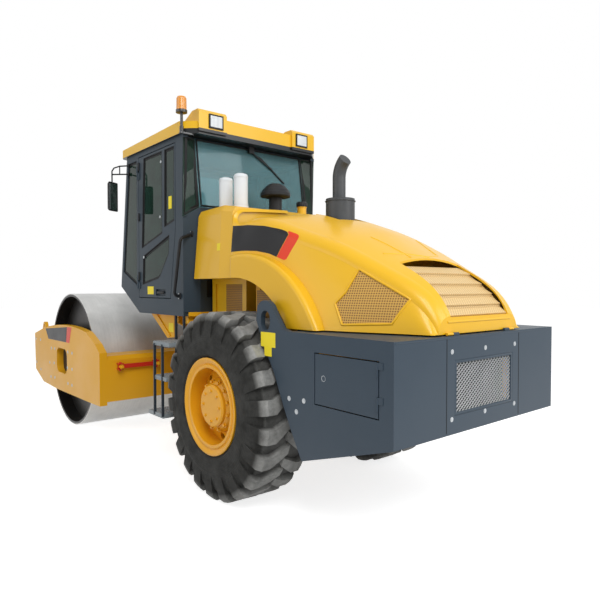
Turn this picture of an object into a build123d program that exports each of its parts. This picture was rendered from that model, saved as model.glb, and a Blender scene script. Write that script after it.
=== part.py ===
"""Single-drum soil compactor: articulated frame, smooth drum ahead, two driven tyres behind.

X runs forward, Y to the left and Z up; the origin is on the ground below the
middle of the machine. All lengths are in millimetres.
"""
import os
from math import atan2, cos, degrees, hypot, radians, sin

from build123d import *

os.makedirs("parts", exist_ok=True)

# ---------------------------------------------------------------- main sizes
pivot_ahead = 1450             # rear axle to the steering pivot
drum_ahead = 1760              # steering pivot to the drum's axle
wheelbase = pivot_ahead + drum_ahead
front_overhang = 1270          # drum axle to the front of the side plates
rear_overhang = 1790           # rear axle to the counterweight's rear face
tail_x = -(front_overhang + wheelbase + rear_overhang) / 2
rear_x = tail_x + rear_overhang
drum_x = rear_x + wheelbase
pivot_x = rear_x + pivot_ahead

seat_gap = 0.3                 # between pieces that are bonded or clipped together
pin_play = 0.05                # radial play of a pin or shaft in its bore
clear = 8                      # round doors, lids and other moving panels


def span(x, y, z, mode=Mode.ADD):
    """A block given by its (low, high) pairs along X, Y and Z."""
    middle = [(low + high) / 2 for low, high in (x, y, z)]
    with Locations(tuple(middle)):
        Box(x[1] - x[0], y[1] - y[0], z[1] - z[0], mode=mode)


def outline(points, mode=Mode.ADD):
    """A face inside straight sides, in the plane of the sketch."""
    Polygon(*points, align=None, mode=mode)


def strip(start, end, inside, outside):
    """Corners of a flat bar seen from the side, lying along start to end."""
    length = hypot(end[0] - start[0], end[1] - start[1])
    nx, nz = (end[1] - start[1]) / length, -(end[0] - start[0]) / length
    return [(start[0] + nx * inside, start[1] + nz * inside),
            (end[0] + nx * inside, end[1] + nz * inside),
            (end[0] + nx * outside, end[1] + nz * outside),
            (start[0] + nx * outside, start[1] + nz * outside)]


def from_rear_axle(points):
    return [(rear_x + x, z) for x, z in points]


def save(part, name):
    part.label = name
    export_step(part, f"parts/{name}.step")


# -------------------------------------------------------------------- tyres
tyre_radius = 745
tyre_width = 497
tyre_outer_y = 1048
tyre_inner_y = tyre_outer_y - tyre_width
tyre_mid_y = (tyre_outer_y + tyre_inner_y) / 2
bead_radius = 330              # where the tyre sits on the rim
flange_width = 20
rim_width = 440                # between the rim's flanges
lug_count = 22                 # in each of the two rows
lug_depth = 42
lug_width = 112
lug_overlap = 14               # each row's reach over the middle of the tread
lug_sweep = 88                 # how far a lug's inner end runs ahead of its outer end
axle_z = tyre_radius
rear_axis = Axis((rear_x, 0, axle_z), (0, 1, 0))

rim_low_y = tyre_mid_y - rim_width / 2
rim_high_y = tyre_mid_y + rim_width / 2
tyre_sides = 2 * lug_count     # facets round the tyre
carcass_outline = [
    # share of the tyre's width from its middle, below the lugs' tops
    (0.5, 227), (0.475, 160), (0.44, 102), (0.36, 56), (0, lug_depth)]
sidewall_outline = [(0.5, 228), (0.488, 332), (0.442, 356)]
lug_outline = [(0, 0), (0.385, 0), (0.452, 32), (0.492, 150)]


def faceted(rows):
    """Body through regular polygons, each at a share of the tyre's width and below the lugs' tops."""
    with BuildPart(mode=Mode.PRIVATE) as body:
        for share, drop in rows:
            middle = (rear_x, tyre_mid_y + share * tyre_width, axle_z)
            with BuildSketch(Plane(origin=middle, x_dir=(0, 0, 1), z_dir=(0, 1, 0))):
                RegularPolygon(tyre_radius - drop, tyre_sides)
        loft(ruled=True)
    return body.part


with BuildPart(mode=Mode.PRIVATE) as lug:
    with BuildSketch(Plane.XY.offset(axle_z + 0.6 * tyre_radius)):
        outline([(rear_x + x, tyre_mid_y + y) for x, y in (
            (-lug_width / 2, 0.6 * tyre_width), (lug_width / 2, 0.6 * tyre_width),
            (0.45 * lug_width, 0.26 * tyre_width), (0.32 * lug_width + lug_sweep, -lug_overlap),
            (-0.32 * lug_width + lug_sweep, -lug_overlap), (-0.5 * lug_width, 0.24 * tyre_width))])
    extrude(amount=0.45 * tyre_radius)
    add(faceted([(-0.1, 0)] + lug_outline[1:]), mode=Mode.INTERSECT)

with BuildPart() as tyre_left:
    add(faceted([(-share, drop) for share, drop in carcass_outline] + carcass_outline[-2::-1]))
    for side in (1, -1):
        first, *rest = [(side * share, drop) for share, drop in sidewall_outline]
        add(faceted([(1.01 * first[0], first[1])] + rest), mode=Mode.SUBTRACT)
    with Locations((rear_x, tyre_mid_y, axle_z)):
        Cylinder(bead_radius, tyre_width + 10, rotation=(90, 0, 0), mode=Mode.SUBTRACT)
    pitch = 360 / lug_count
    add([lug.part.rotate(rear_axis, 180 + n * pitch) for n in range(lug_count)])
    other_row = mirror(lug.part, about=Plane.XZ.offset(-tyre_mid_y), mode=Mode.PRIVATE)
    add([other_row.rotate(rear_axis, 180 + (n + 0.5) * pitch) for n in range(lug_count)])

# --------------------------------------------------------- rims and rear axle
barrel_thickness = 28
flange_radius = 384
disc_y = 890                   # outer face of the wheel disc
disc_thickness = 24
disc_dish = 22
hub_radius = 212
hub_outer_y = 962
cap_radius = 168
cap_outer_y = 1010
hub_inner_y = 545
hand_hole_radius, hand_hole_circle, hand_holes = 30, 257, 8
stub_radius = 70
stub_length = 100
axle_end_y = 540
axle_flange_radius = 180
axle_tube_radius = 95
axle_ball_radius = 215

barrel_outer = bead_radius - seat_gap
barrel_inner = bead_radius - barrel_thickness
bore_end_y = axle_end_y + stub_length + 5
flange_y = rim_high_y + flange_width

with BuildPart() as rim_left:
    with BuildSketch(Plane.YZ.offset(rear_x)):
        outline([(y, axle_z + r) for y, r in (
            # y, radius
            (bore_end_y, 0), (cap_outer_y, 0), (cap_outer_y, cap_radius - 12), (cap_outer_y - 12, cap_radius),
            (hub_outer_y + 14, cap_radius), (hub_outer_y, hub_radius - 22), (hub_outer_y - 26, hub_radius),
            (disc_y + disc_dish, hub_radius + 6), (disc_y, barrel_inner),
            (flange_y - 14, barrel_inner), (flange_y - 10, barrel_inner + 6), (flange_y - 10, barrel_inner + 24),
            (flange_y - 20, barrel_inner + 32), (flange_y - 4, flange_radius - 22),
            (flange_y, flange_radius - 10), (flange_y - 4, flange_radius), (rim_high_y + seat_gap, flange_radius),
            (rim_high_y + seat_gap, barrel_outer), (rim_low_y - seat_gap, barrel_outer),
            (rim_low_y - seat_gap, flange_radius), (rim_low_y - flange_width, flange_radius),
            (rim_low_y - flange_width, barrel_inner), (disc_y - disc_thickness, barrel_inner),
            (disc_y + disc_dish - disc_thickness, hub_radius - 20),
            (hub_inner_y, hub_radius - 20), (hub_inner_y, stub_radius + pin_play), (bore_end_y, stub_radius + pin_play))])
    revolve(axis=rear_axis)
    # hand holes through the disc
    with BuildSketch(Plane(origin=(rear_x, disc_y - disc_thickness - 30, axle_z), x_dir=(1, 0, 0), z_dir=(0, 1, 0))):
        with PolarLocations(hand_hole_circle, hand_holes):
            Circle(hand_hole_radius)
    extrude(amount=disc_thickness + disc_dish + 60, mode=Mode.SUBTRACT)

rail_inner_y = 380
rail_thickness = 40
rail_outer_y = rail_inner_y + rail_thickness
rail_top_z = 1180
rail_over_axle_z = 885

with BuildPart() as rear_axle:
    with BuildSketch(Plane.YZ.offset(rear_x)):
        outline([(y, axle_z + r) for y, r in (
            # y, radius
            (0, 0), (axle_end_y + stub_length, 0), (axle_end_y + stub_length, stub_radius),
            (axle_end_y, stub_radius), (axle_end_y, axle_flange_radius),
            (axle_end_y - 35, axle_flange_radius), (axle_end_y - 60, axle_tube_radius + 25),
            (250, axle_tube_radius), (130, axle_ball_radius - 20), (60, axle_ball_radius), (0, axle_ball_radius))])
    revolve(axis=rear_axis)
    mirror(about=Plane.XZ)
    for side in (1, -1):
        middle_y = side * (rail_inner_y + rail_thickness / 2)
        span((rear_x - 150, rear_x + 150), (middle_y - 60, middle_y + 60), (axle_z, rail_over_axle_z))

# ---------------------------------------------------------------- rear frame
yoke_back = 330                # front ends of the rails behind the pivot
ear_thickness = 50
lower_ear_z = 470
upper_ear_z = 985
ear_radius = 130
pivot_pin_radius = 46
shaft_z = 750                  # oscillation shaft and drum frame boss
rear_wall = 40                 # counterweight plates
rail_front = pivot_ahead - yoke_back

screen_x, screen_y, screen_top_z = (-350, 100), (470, 500), 1730

cylinder_z = 620
cylinder_base = (-800, 270)    # from the pivot, to the left
cylinder_eye = (60, 300)
cylinder_pin_radius = 20
base_eye_radius = 42
base_eye_thickness = 50

with BuildPart() as rear_frame:
    with BuildSketch(Plane.XZ.offset(-rail_outer_y)):
        outline(from_rear_axle([
            # ahead of the rear axle, height
            (-rear_overhang + rear_wall, 900), (-rear_overhang + rear_wall, rail_top_z),
            (rail_front, rail_top_z), (rail_front, lower_ear_z), (rail_front - 420, lower_ear_z),
            (420, rail_over_axle_z), (-420, rail_over_axle_z), (-600, 900)]))
    extrude(amount=rail_thickness)
    mirror(about=Plane.XZ)
    for low in (lower_ear_z, upper_ear_z):
        with BuildSketch(Plane.XY.offset(low)):
            outline([(pivot_x - yoke_back, -rail_outer_y), (pivot_x, -ear_radius),
                     (pivot_x, ear_radius), (pivot_x - yoke_back, rail_outer_y),
                     (pivot_x - yoke_back - 320, rail_outer_y), (pivot_x - yoke_back - 320, -rail_outer_y)])
            with Locations((pivot_x, 0)):
                Circle(ear_radius)
                Circle(pivot_pin_radius, mode=Mode.SUBTRACT)
        extrude(amount=ear_thickness)
    # screens between the engine and the tyres
    for side in (1, -1):
        edges = sorted((side * (rail_outer_y - 1), side * screen_y[1]))
        span((rear_x + screen_x[0], rear_x + screen_x[1]), edges, (rail_top_z - 30, rail_top_z))
        edges = sorted((side * screen_y[0], side * screen_y[1]))
        span((rear_x + screen_x[0], rear_x + screen_x[1]), edges, (rail_top_z - 1, screen_top_z))
        edges = sorted((side * (screen_y[1] - 10), side * (screen_y[1] + 1)))
        span((rear_x + screen_x[0] + 60, rear_x + screen_x[1] - 60), edges,
             (rail_top_z + 60, screen_top_z - 60), mode=Mode.SUBTRACT)
    for along in (-1400, 620):
        with Locations((rear_x + along, 0, 1060)):
            Cylinder(60, 2 * rail_inner_y + 2, rotation=(90, 0, 0))
    # clevis and pin for the barrel of each steering cylinder
    base_x = pivot_x + cylinder_base[0]
    for side in (1, -1):
        base_y = side * cylinder_base[1]
        for low in (cylinder_z - base_eye_thickness / 2 - 22, cylinder_z + base_eye_thickness / 2 + 2):
            edges = sorted((side * (cylinder_base[1] - 45), side * (rail_inner_y + 1)))
            span((base_x - 45, base_x + 45), edges, (low, low + 20))
        with Locations((base_x, base_y, cylinder_z)):
            Cylinder(cylinder_pin_radius - pin_play, base_eye_thickness + 40)

# ---------------------------------------------------------------- centre link
link_radius = 95
link_gap = 2
shaft_radius = 110
beam_back = 1210               # rear crossbeam's rear face behind the drum axle
boss_length = 160
boss_back = drum_ahead - beam_back - boss_length   # boss's rear face ahead of the pivot
shaft_ahead = boss_back + boss_length + 50
arm_thickness = 20
rod_eye_radius = 38
rod_eye_thickness = 50
eye_gap = 5

with BuildPart() as centre_link:
    link_low = lower_ear_z + ear_thickness + link_gap
    link_high = upper_ear_z - link_gap
    with BuildSketch(Plane.XY.offset(link_low)):
        with Locations((pivot_x, 0)):
            Circle(link_radius)
    extrude(amount=link_high - link_low)
    with BuildSketch(Plane.XY.offset(lower_ear_z - 8)):
        with Locations((pivot_x, 0)):
            Circle(pivot_pin_radius - pin_play)
    extrude(amount=upper_ear_z + ear_thickness + 16 - lower_ear_z)
    with BuildSketch(Plane.YZ.offset(pivot_x)):
        with Locations((0, shaft_z)):
            Circle(shaft_radius)
    extrude(amount=shaft_ahead)
    with BuildSketch(Plane.YZ.offset(pivot_x + boss_back - 190)):
        with Locations((0, shaft_z)):
            Circle(shaft_radius + 60)
    extrude(amount=60)
    for side in (1, -1):
        for low in (cylinder_z - rod_eye_thickness / 2 - eye_gap - arm_thickness,
                    cylinder_z + rod_eye_thickness / 2 + eye_gap):
            with BuildSketch(Plane.XY.offset(low)):
                outline([(pivot_x - 80, side * 40), (pivot_x + cylinder_eye[0] - 45, side * cylinder_eye[1]),
                         (pivot_x + cylinder_eye[0] + 45, side * cylinder_eye[1]), (pivot_x + 110, side * 40)])
                with Locations((pivot_x + cylinder_eye[0], side * cylinder_eye[1])):
                    Circle(48)
            extrude(amount=arm_thickness)

# --------------------------------------------------------- steering cylinders
barrel_radius = 50
rod_radius = 28
barrel_gap = 190               # barrel's front face behind the pivot
rod_inside = 260               # rod within the barrel at rest
rod_stroke = 172

barrels, rods = {}, {}
reach = hypot(cylinder_eye[0] - cylinder_base[0], cylinder_eye[1] - cylinder_base[1])
barrel_end = -cylinder_base[0] - barrel_gap
for name, side in (("left", 1), ("right", -1)):
    lean = side * degrees(atan2(cylinder_eye[1] - cylinder_base[1], cylinder_eye[0] - cylinder_base[0]))
    run = Plane(origin=(pivot_x + cylinder_base[0], side * cylinder_base[1], cylinder_z),
                x_dir=(0, 0, 1), z_dir=(cos(radians(lean)), sin(radians(lean)), 0))
    with BuildPart() as barrel:
        with Locations((pivot_x + cylinder_base[0], side * cylinder_base[1], cylinder_z)):
            Cylinder(base_eye_radius, base_eye_thickness)
        with BuildSketch(run):
            Circle(22)
        extrude(amount=90)
        with BuildSketch(run.offset(75)):
            Circle(barrel_radius)
        extrude(amount=barrel_end - 75)
        with Locations((pivot_x + cylinder_base[0], side * cylinder_base[1], cylinder_z)):
            Cylinder(cylinder_pin_radius, base_eye_thickness + 20, mode=Mode.SUBTRACT)
        with BuildSketch(run.offset(barrel_end - rod_inside - rod_stroke - 10)):
            Circle(rod_radius + pin_play)
        extrude(amount=rod_inside + rod_stroke + 20, mode=Mode.SUBTRACT)
    with BuildPart() as rod:
        with BuildSketch(run.offset(barrel_end - rod_inside)):
            Circle(rod_radius)
        extrude(amount=reach - barrel_end + rod_inside)
        with Locations((pivot_x + cylinder_eye[0], side * cylinder_eye[1], cylinder_z)):
            Cylinder(rod_eye_radius, rod_eye_thickness)
    barrels[name], rods[name] = barrel.part, rod.part

# ----------------------------------------------------------------- front frame
drum_radius = 800
drum_half_width = 1065
drum_gap = 20                  # drum's end to the side plate
plate_thickness = 80
plate_inner_y = drum_half_width + drum_gap
plate_outer_y = plate_inner_y + plate_thickness
beam_depth = 330
beam_low_z, beam_high_z = 460, 945
nose_back, nose_depth = 900, 270   # front crossbeam ahead of the drum axle
slot_length, slot_height = 400, 300
slot_ahead, slot_z = 70, 778
lug_ahead = 880
lug_hole_radius = 22
lug_radius = 52
lug_thickness = 40
lug_z = 1165
boss_radius = 190
plate_outline = [
    # from the drum axle, height, after the arc along the top
    (-1075, 1073), (-beam_back, 987), (-beam_back, 425), (-850, 418), (285, 403), (860, 418), (front_overhang - 35, 548)]

with BuildPart() as front_frame:
    with BuildSketch(Plane.XZ.offset(-plate_outer_y)):
        with BuildLine():
            nose_top, crown, tail_top = ((drum_x + x, z) for x, z in ((860, 1130), (-60, 1222), (-790, 1184)))
            ThreePointArc(nose_top, crown, tail_top)
            Polyline(tail_top, *[(drum_x + x, z) for x, z in plate_outline],
                     (drum_x + front_overhang, 1040), nose_top)
        make_face()
        with Locations((drum_x + slot_ahead, slot_z)):
            RectangleRounded(slot_length, slot_height, 95, mode=Mode.SUBTRACT)
    extrude(amount=plate_thickness)
    # tie-down lug on the plate's top edge
    with BuildSketch(Plane.XZ.offset(-(plate_outer_y - 20))):
        with Locations((drum_x + lug_ahead, lug_z)):
            Circle(lug_radius)
        outline([(drum_x + lug_ahead - 90, lug_z - 60), (drum_x + lug_ahead + 90, lug_z - 60),
                 (drum_x + lug_ahead + 40, lug_z + 33), (drum_x + lug_ahead - 40, lug_z + 33)])
        with Locations((drum_x + lug_ahead, lug_z)):
            Circle(lug_hole_radius, mode=Mode.SUBTRACT)
    extrude(amount=lug_thickness)
    mirror(about=Plane.XZ)
    with BuildSketch(Plane.XZ.offset(-plate_inner_y)):
        outline([(drum_x - beam_back, beam_low_z), (drum_x - beam_back, beam_high_z - 40),
                 (drum_x - beam_back + 40, beam_high_z), (drum_x - beam_back + beam_depth, beam_high_z),
                 (drum_x - beam_back + beam_depth, beam_low_z + 60),
                 (drum_x - beam_back + beam_depth - 60, beam_low_z)])
        outline([(drum_x + nose_back, 600), (drum_x + nose_back, 980), (drum_x + nose_back + nose_depth, 980),
                 (drum_x + nose_back + nose_depth, 640), (drum_x + nose_back + nose_depth - 60, 560),
                 (drum_x + nose_back + 40, 560)])
    extrude(amount=2 * plate_inner_y)
    with BuildSketch(Plane.YZ.offset(drum_x - beam_back - boss_length)):
        with Locations((0, shaft_z)):
            Circle(boss_radius)
    extrude(amount=boss_length + 1)
    with BuildSketch(Plane.YZ.offset(drum_x - beam_back - boss_length)):
        with Locations((0, shaft_z)):
            Circle(shaft_radius + pin_play)
    extrude(amount=boss_length + 60, mode=Mode.SUBTRACT)

# ------------------------------------------------------- drum and its bearings
drum_wall = 35
disc_recess = 150
disc_plate = 30
drum_boss_radius = 200
spindle_radius = 110
drum_axis = Axis((drum_x, 0, drum_radius), (0, 1, 0))
disc_outer_y = drum_half_width - disc_recess
disc_inner_y = disc_outer_y - disc_plate
spindle_end_y = disc_inner_y - 25

with BuildPart() as drum:
    with BuildSketch(Plane.YZ.offset(drum_x)):
        outline([(y, drum_radius + r) for y, r in (
            # y, radius
            (-drum_half_width, drum_radius), (drum_half_width, drum_radius),
            (drum_half_width, drum_radius - drum_wall), (disc_outer_y, drum_radius - drum_wall),
            (disc_outer_y, drum_boss_radius), (disc_outer_y + 20, drum_boss_radius),
            (disc_outer_y + 20, spindle_radius + pin_play), (spindle_end_y - 5, spindle_radius + pin_play),
            (spindle_end_y - 5, 0), (-spindle_end_y + 5, 0),
            (-spindle_end_y + 5, spindle_radius + pin_play), (-disc_outer_y - 20, spindle_radius + pin_play),
            (-disc_outer_y - 20, drum_boss_radius), (-disc_outer_y, drum_boss_radius),
            (-disc_outer_y, drum_radius - drum_wall), (-drum_half_width, drum_radius - drum_wall))])
        outline([(side * y, drum_radius + r) for side, corners in (
            # y, radius of the space inside
            (-1, ((spindle_end_y - 35, 0),)),
            (1, ((spindle_end_y - 35, 0), (spindle_end_y - 35, drum_boss_radius), (disc_inner_y, drum_boss_radius),
                 (disc_inner_y, drum_radius - drum_wall))),
            (-1, ((disc_inner_y, drum_radius - drum_wall), (disc_inner_y, drum_boss_radius),
                  (spindle_end_y - 35, drum_boss_radius)))) for y, r in corners], mode=Mode.SUBTRACT)
    revolve(axis=drum_axis)

carrier_radius = 330
carrier_thickness = 40
with BuildPart() as drum_mounts:
    with BuildSketch(Plane.YZ.offset(drum_x)):
        outline([(y, drum_radius + r) for y, r in (
            # y, radius
            (spindle_end_y, 0), (plate_inner_y, 0), (plate_inner_y, carrier_radius),
            (plate_inner_y - carrier_thickness, carrier_radius), (plate_inner_y - carrier_thickness - 20, 230),
            (disc_outer_y + 30, 160), (disc_outer_y + 30, spindle_radius), (spindle_end_y, spindle_radius))])
    revolve(axis=drum_axis)
    mirror(about=Plane.XZ)

scraper_gap = 10
with BuildPart() as scrapers:
    for direction, low, beam_face in ((-1, 540, beam_back - beam_depth), (1, 640, nose_back)):
        reach_x = (drum_radius ** 2 - (drum_radius - low) ** 2) ** 0.5 + scraper_gap
        with BuildSketch(Plane.XZ.offset(-(drum_half_width - 30))):
            outline([(drum_x + direction * reach_x, low), (drum_x + direction * reach_x, low + 14),
                     (drum_x + direction * (beam_face - 12), low + 34), (drum_x + direction * (beam_face - 12), low + 120),
                     (drum_x + direction * beam_face, low + 120), (drum_x + direction * beam_face, low)])
        extrude(amount=2 * (drum_half_width - 30))

bar_y = (545, 955)             # ends of the steering lock bar
bar_z = 835
bar_height = 46
with BuildPart() as lock_bar:
    face = drum_x - beam_back
    for y in bar_y:
        span((face - 62, face), (y - 28, y + 28), (bar_z - 34, bar_z - 22))
        span((face - 62, face), (y - 28, y + 28), (bar_z + 22, bar_z + 34))
        with Locations((face - 36, y, bar_z)):
            Cylinder(13, 92)
    span((face - 48, face - 24), (bar_y[0] - 24, bar_y[1] + 24), (bar_z - bar_height / 2 + 1, bar_z + bar_height / 2 - 1))

# --------------------------------------------------------------- counterweight
hood_hinge_x, hood_hinge_z = -1764, 1396
hood_knuckle_radius = 9
weight_half_width = 915
weight_top_z = 1385
weight_low_z = 777             # at the rear face
weight_keel_z = 530            # at its front
side_plate = 40
deck_plate = 20
window_half_width, window_z = 340, (890, 1235)
tool_x = (-1683, -1128)
tool_z = (930, 1268)
tool_hinge_x, tool_hinge_y = tool_x[0] + 12, weight_half_width + 2
tool_hinge_z = (tool_z[0] + 70, tool_z[1] - 70)
tool_knuckle_radius = 7
eye_x, eye_z = -597, 1447
eye_width, eye_height = 108, 143

with BuildPart() as counterweight:
    with BuildSketch(Plane.XZ.offset(-weight_half_width)):
        with BuildLine():
            line = from_rear_axle([
                # ahead of the rear axle, height
                (-690, 1520), (-790, 1400), (-860, weight_top_z), (-rear_overhang, weight_top_z),
                (-rear_overhang, weight_low_z), (-1000, weight_keel_z), (-880, 730), (-800, 880),
                (-700, 1085), (-560, 1300), (-485, 1450), (-500, 1545)])
            edge = Polyline(*line)
            ThreePointArc(line[-1], (rear_x - 592, 1592), line[0])
        make_face()
        with Locations((rear_x + eye_x, eye_z)):
            SlotOverall(eye_height, eye_width, rotation=90, mode=Mode.SUBTRACT)
    extrude(amount=2 * weight_half_width)
    with BuildSketch(Plane.XZ.offset(-(weight_half_width - side_plate))):
        outline(from_rear_axle([
            (-rear_overhang + rear_wall, weight_low_z + 52), (-rear_overhang + rear_wall, weight_top_z - deck_plate),
            (-860, weight_top_z - deck_plate), (-860, 1700), (-300, 1700), (-300, weight_keel_z),
            (-1000, weight_keel_z + 42)]))
    extrude(amount=2 * (weight_half_width - side_plate), mode=Mode.SUBTRACT)
    span((rear_x - 1690, rear_x - 840), (-500, 500), (weight_top_z - 60, weight_top_z + 20), mode=Mode.SUBTRACT)
    span((tail_x - 10, tail_x + rear_wall + 10), (-window_half_width, window_half_width), window_z, mode=Mode.SUBTRACT)
    for side in (1, -1):
        edges = sorted((side * (weight_half_width - side_plate - 5), side * (weight_half_width + 5)))
        span((rear_x + tool_x[0], rear_x + tool_x[1]), edges, tool_z, mode=Mode.SUBTRACT)
        # hinges of the tool door and of the hood
        for z in tool_hinge_z:
            with Locations((rear_x + tool_hinge_x, side * tool_hinge_y, z + 40.5)):
                Cylinder(tool_knuckle_radius, 40)
            edges = sorted((side * (weight_half_width + 1), side * (tool_hinge_y + 2)))
            span((rear_x + tool_x[0] - 30, rear_x + tool_hinge_x), edges, (z + 21, z + 61))
            edges = sorted((side * (weight_half_width - 4), side * (tool_hinge_y + 2)))
            span((rear_x + tool_x[0] - 30, rear_x + tool_x[0]), edges, (z + 21, z + 61))
        with Locations((rear_x + hood_hinge_x, side * 300, hood_hinge_z)):
            Cylinder(hood_knuckle_radius, 60, rotation=(90, 0, 0))
        span((rear_x + hood_hinge_x - 9, rear_x + hood_hinge_x), (side * 300 - 30, side * 300 + 30),
             (weight_top_z, hood_hinge_z))

tool_door_thickness = 22
with BuildPart() as tool_door_left:
    span((rear_x + tool_x[0] + clear, rear_x + tool_x[1] - clear),
         (weight_half_width - tool_door_thickness, weight_half_width),
         (tool_z[0] + clear, tool_z[1] - clear))
    for z in tool_hinge_z:
        with Locations((rear_x + tool_hinge_x, tool_hinge_y, z)):
            Cylinder(tool_knuckle_radius, 40)
        # notch for the fixed half of the hinge
        span((rear_x + tool_x[0], rear_x + tool_hinge_x + tool_knuckle_radius + 1),
             (tool_hinge_y - tool_knuckle_radius - 1, tool_hinge_y + tool_knuckle_radius + 1),
             (z + 20, z + 62), mode=Mode.SUBTRACT)

grille_bars = 11
with BuildPart() as rear_grille:
    low, high = window_z
    half = window_half_width - seat_gap
    with BuildSketch(Plane.YZ.offset(tail_x + 4)):
        with Locations((0, (low + high) / 2)):
            Rectangle(2 * half, high - low - 2 * seat_gap)
            Rectangle(2 * half - 50, high - low - 50, mode=Mode.SUBTRACT)
            with GridLocations(0, (high - low - 50) / grille_bars, 1, grille_bars - 1):
                Rectangle(2 * half - 48, 12)
    extrude(amount=16)

# ------------------------------------------------------------ engine, radiator
with BuildPart() as engine_block:
    span((rear_x - 1250, rear_x - 250), (-330, 330), (960, 1780))
    for x in (-1100, -420):
        span((rear_x + x - 50, rear_x + x + 50), (-rail_outer_y, rail_outer_y), (rail_top_z, rail_top_z + 45))

with BuildPart() as radiator:
    span((rear_x - 1690, rear_x - 1560), (-rail_inner_y, rail_inner_y), (885, 1360))

# --------------------------------------------------- tank and its yellow shell
cab_half_width = 800
seam_x = 80                    # hood's front edge, from the rear axle
cab_back = 790                 # cab's rear wall, from the rear axle
arch_z = 1760
tank_half_width = 530
deck_z = 2385
crease_x = 265                 # where the shell turns in towards the cab

with BuildPart() as tank_shell:
    span((rear_x + 205, rear_x + cab_back - 20), (-tank_half_width, tank_half_width), (rail_top_z, arch_z))
    for side in (1, -1):
        edges = sorted((side * (tank_half_width - 14), side * (tank_half_width + 1)))
        span((rear_x + 265, rear_x + cab_back - 80), edges, (rail_top_z + 60, arch_z - 50), mode=Mode.SUBTRACT)
    for back, front, drop in ((seam_x + clear, crease_x, 28), (crease_x, cab_back - 20, 0)):
        with BuildSketch(Plane.YZ.offset(rear_x + back)):
            outline([(side * y, z) for side, row in ((-1, 1), (1, -1)) for y, z in (
                (cab_half_width - 28, arch_z), (cab_half_width - 58, deck_z - 75),
                (cab_half_width - 92, deck_z - drop))[::row]])
        turn_in = 0 if front == crease_x else 66
        with BuildSketch(Plane.YZ.offset(rear_x + front)):
            outline([(side * (y - turn_in), z) for side, row in ((-1, 1), (1, -1)) for y, z in (
                (cab_half_width - 28 + 0.3 * turn_in, arch_z), (cab_half_width - 58, deck_z - 50),
                (cab_half_width - 92 + 0.1 * turn_in, deck_z))[::row]])
        loft(ruled=True)
    with Locations((rear_x + 440, -300, deck_z)):
        Cylinder(45, 85, align=(Align.CENTER, Align.CENTER, Align.MIN))
    with Locations((rear_x + 440, -300, deck_z + 85)):
        Cylinder(50, 16, align=(Align.CENTER, Align.CENTER, Align.MIN))

canister_radius = 62
with BuildPart() as filter_canisters:
    for x, y in ((575, 500), (330, 500)):
        with Locations((rear_x + x, y, deck_z)):
            Cylinder(canister_radius + 6, 22, align=(Align.CENTER, Align.CENTER, Align.MIN))
        with BuildSketch(Plane.XZ.offset(-y)):
            outline([(rear_x + x + r, deck_z + z) for r, z in (
                (0, 22), (canister_radius, 22), (canister_radius, 285), (canister_radius - 6, 296),
                (canister_radius - 26, 304), (0, 306))])
        revolve(axis=Axis((rear_x + x, y, 0), (0, 0, 1)))

precleaner_at = (480, 0)
with BuildPart() as air_precleaner:
    with BuildSketch(Plane.XZ):
        x0 = rear_x + precleaner_at[0]
        outline([(x0 + r, deck_z + z) for r, z in (
            (0, 0), (63, 0), (63, 158), (140, 166), (146, 176), (146, 200), (138, 212), (128, 232),
            (98, 266), (52, 292), (0, 300))])
    revolve(axis=Axis((x0, 0, 0), (0, 0, 1)))

muffler_x, muffler_y = -420, 0
muffler_radius = 122
muffler_z = (1900, 2425)
pipe_radius = 55
with BuildPart() as exhaust_stack:
    with Locations((rear_x + muffler_x, muffler_y, muffler_z[0])):
        Cylinder(muffler_radius, muffler_z[1] - muffler_z[0], align=(Align.CENTER, Align.CENTER, Align.MIN))
    with Locations((rear_x + muffler_x, muffler_y, 1780)):
        Cylinder(pipe_radius, 140, align=(Align.CENTER, Align.CENTER, Align.MIN))
    with BuildLine(Plane.XZ.offset(-muffler_y)):
        pipe_low = (rear_x + muffler_x + 15, muffler_z[1] - 5)
        pipe_bend = (rear_x + muffler_x + 15, 2600)
        Line(pipe_low, pipe_bend)
        JernArc(start=pipe_bend, tangent=(0, 1), radius=190, arc_size=52)
    with BuildSketch(Plane(origin=(pipe_low[0], muffler_y, pipe_low[1]), z_dir=(0, 0, 1))):
        Circle(pipe_radius)
    sweep()

# ------------------------------------------------------------------------ hood
hood_skin = 14
hood_foot_z = 1395
shoulder_round = 90
hood_sections = [
    # from the rear axle, half width at the foot, corner's half width, corner height, crown height
    (seam_x, 778, 742, 2328, 2368),
    (-300, 790, 716, 2222, 2298),
    (-600, 796, 682, 2125, 2228),
    (-850, 788, 640, 2040, 2146),
    (-1100, 735, 590, 1938, 2026),
    (-1350, 648, 538, 1812, 1888),
    (-1600, 556, 490, 1672, 1752),
    (-1700, 524, 468, 1575, 1648),
    (-1752, 505, 455, 1490, 1560),
]


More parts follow.
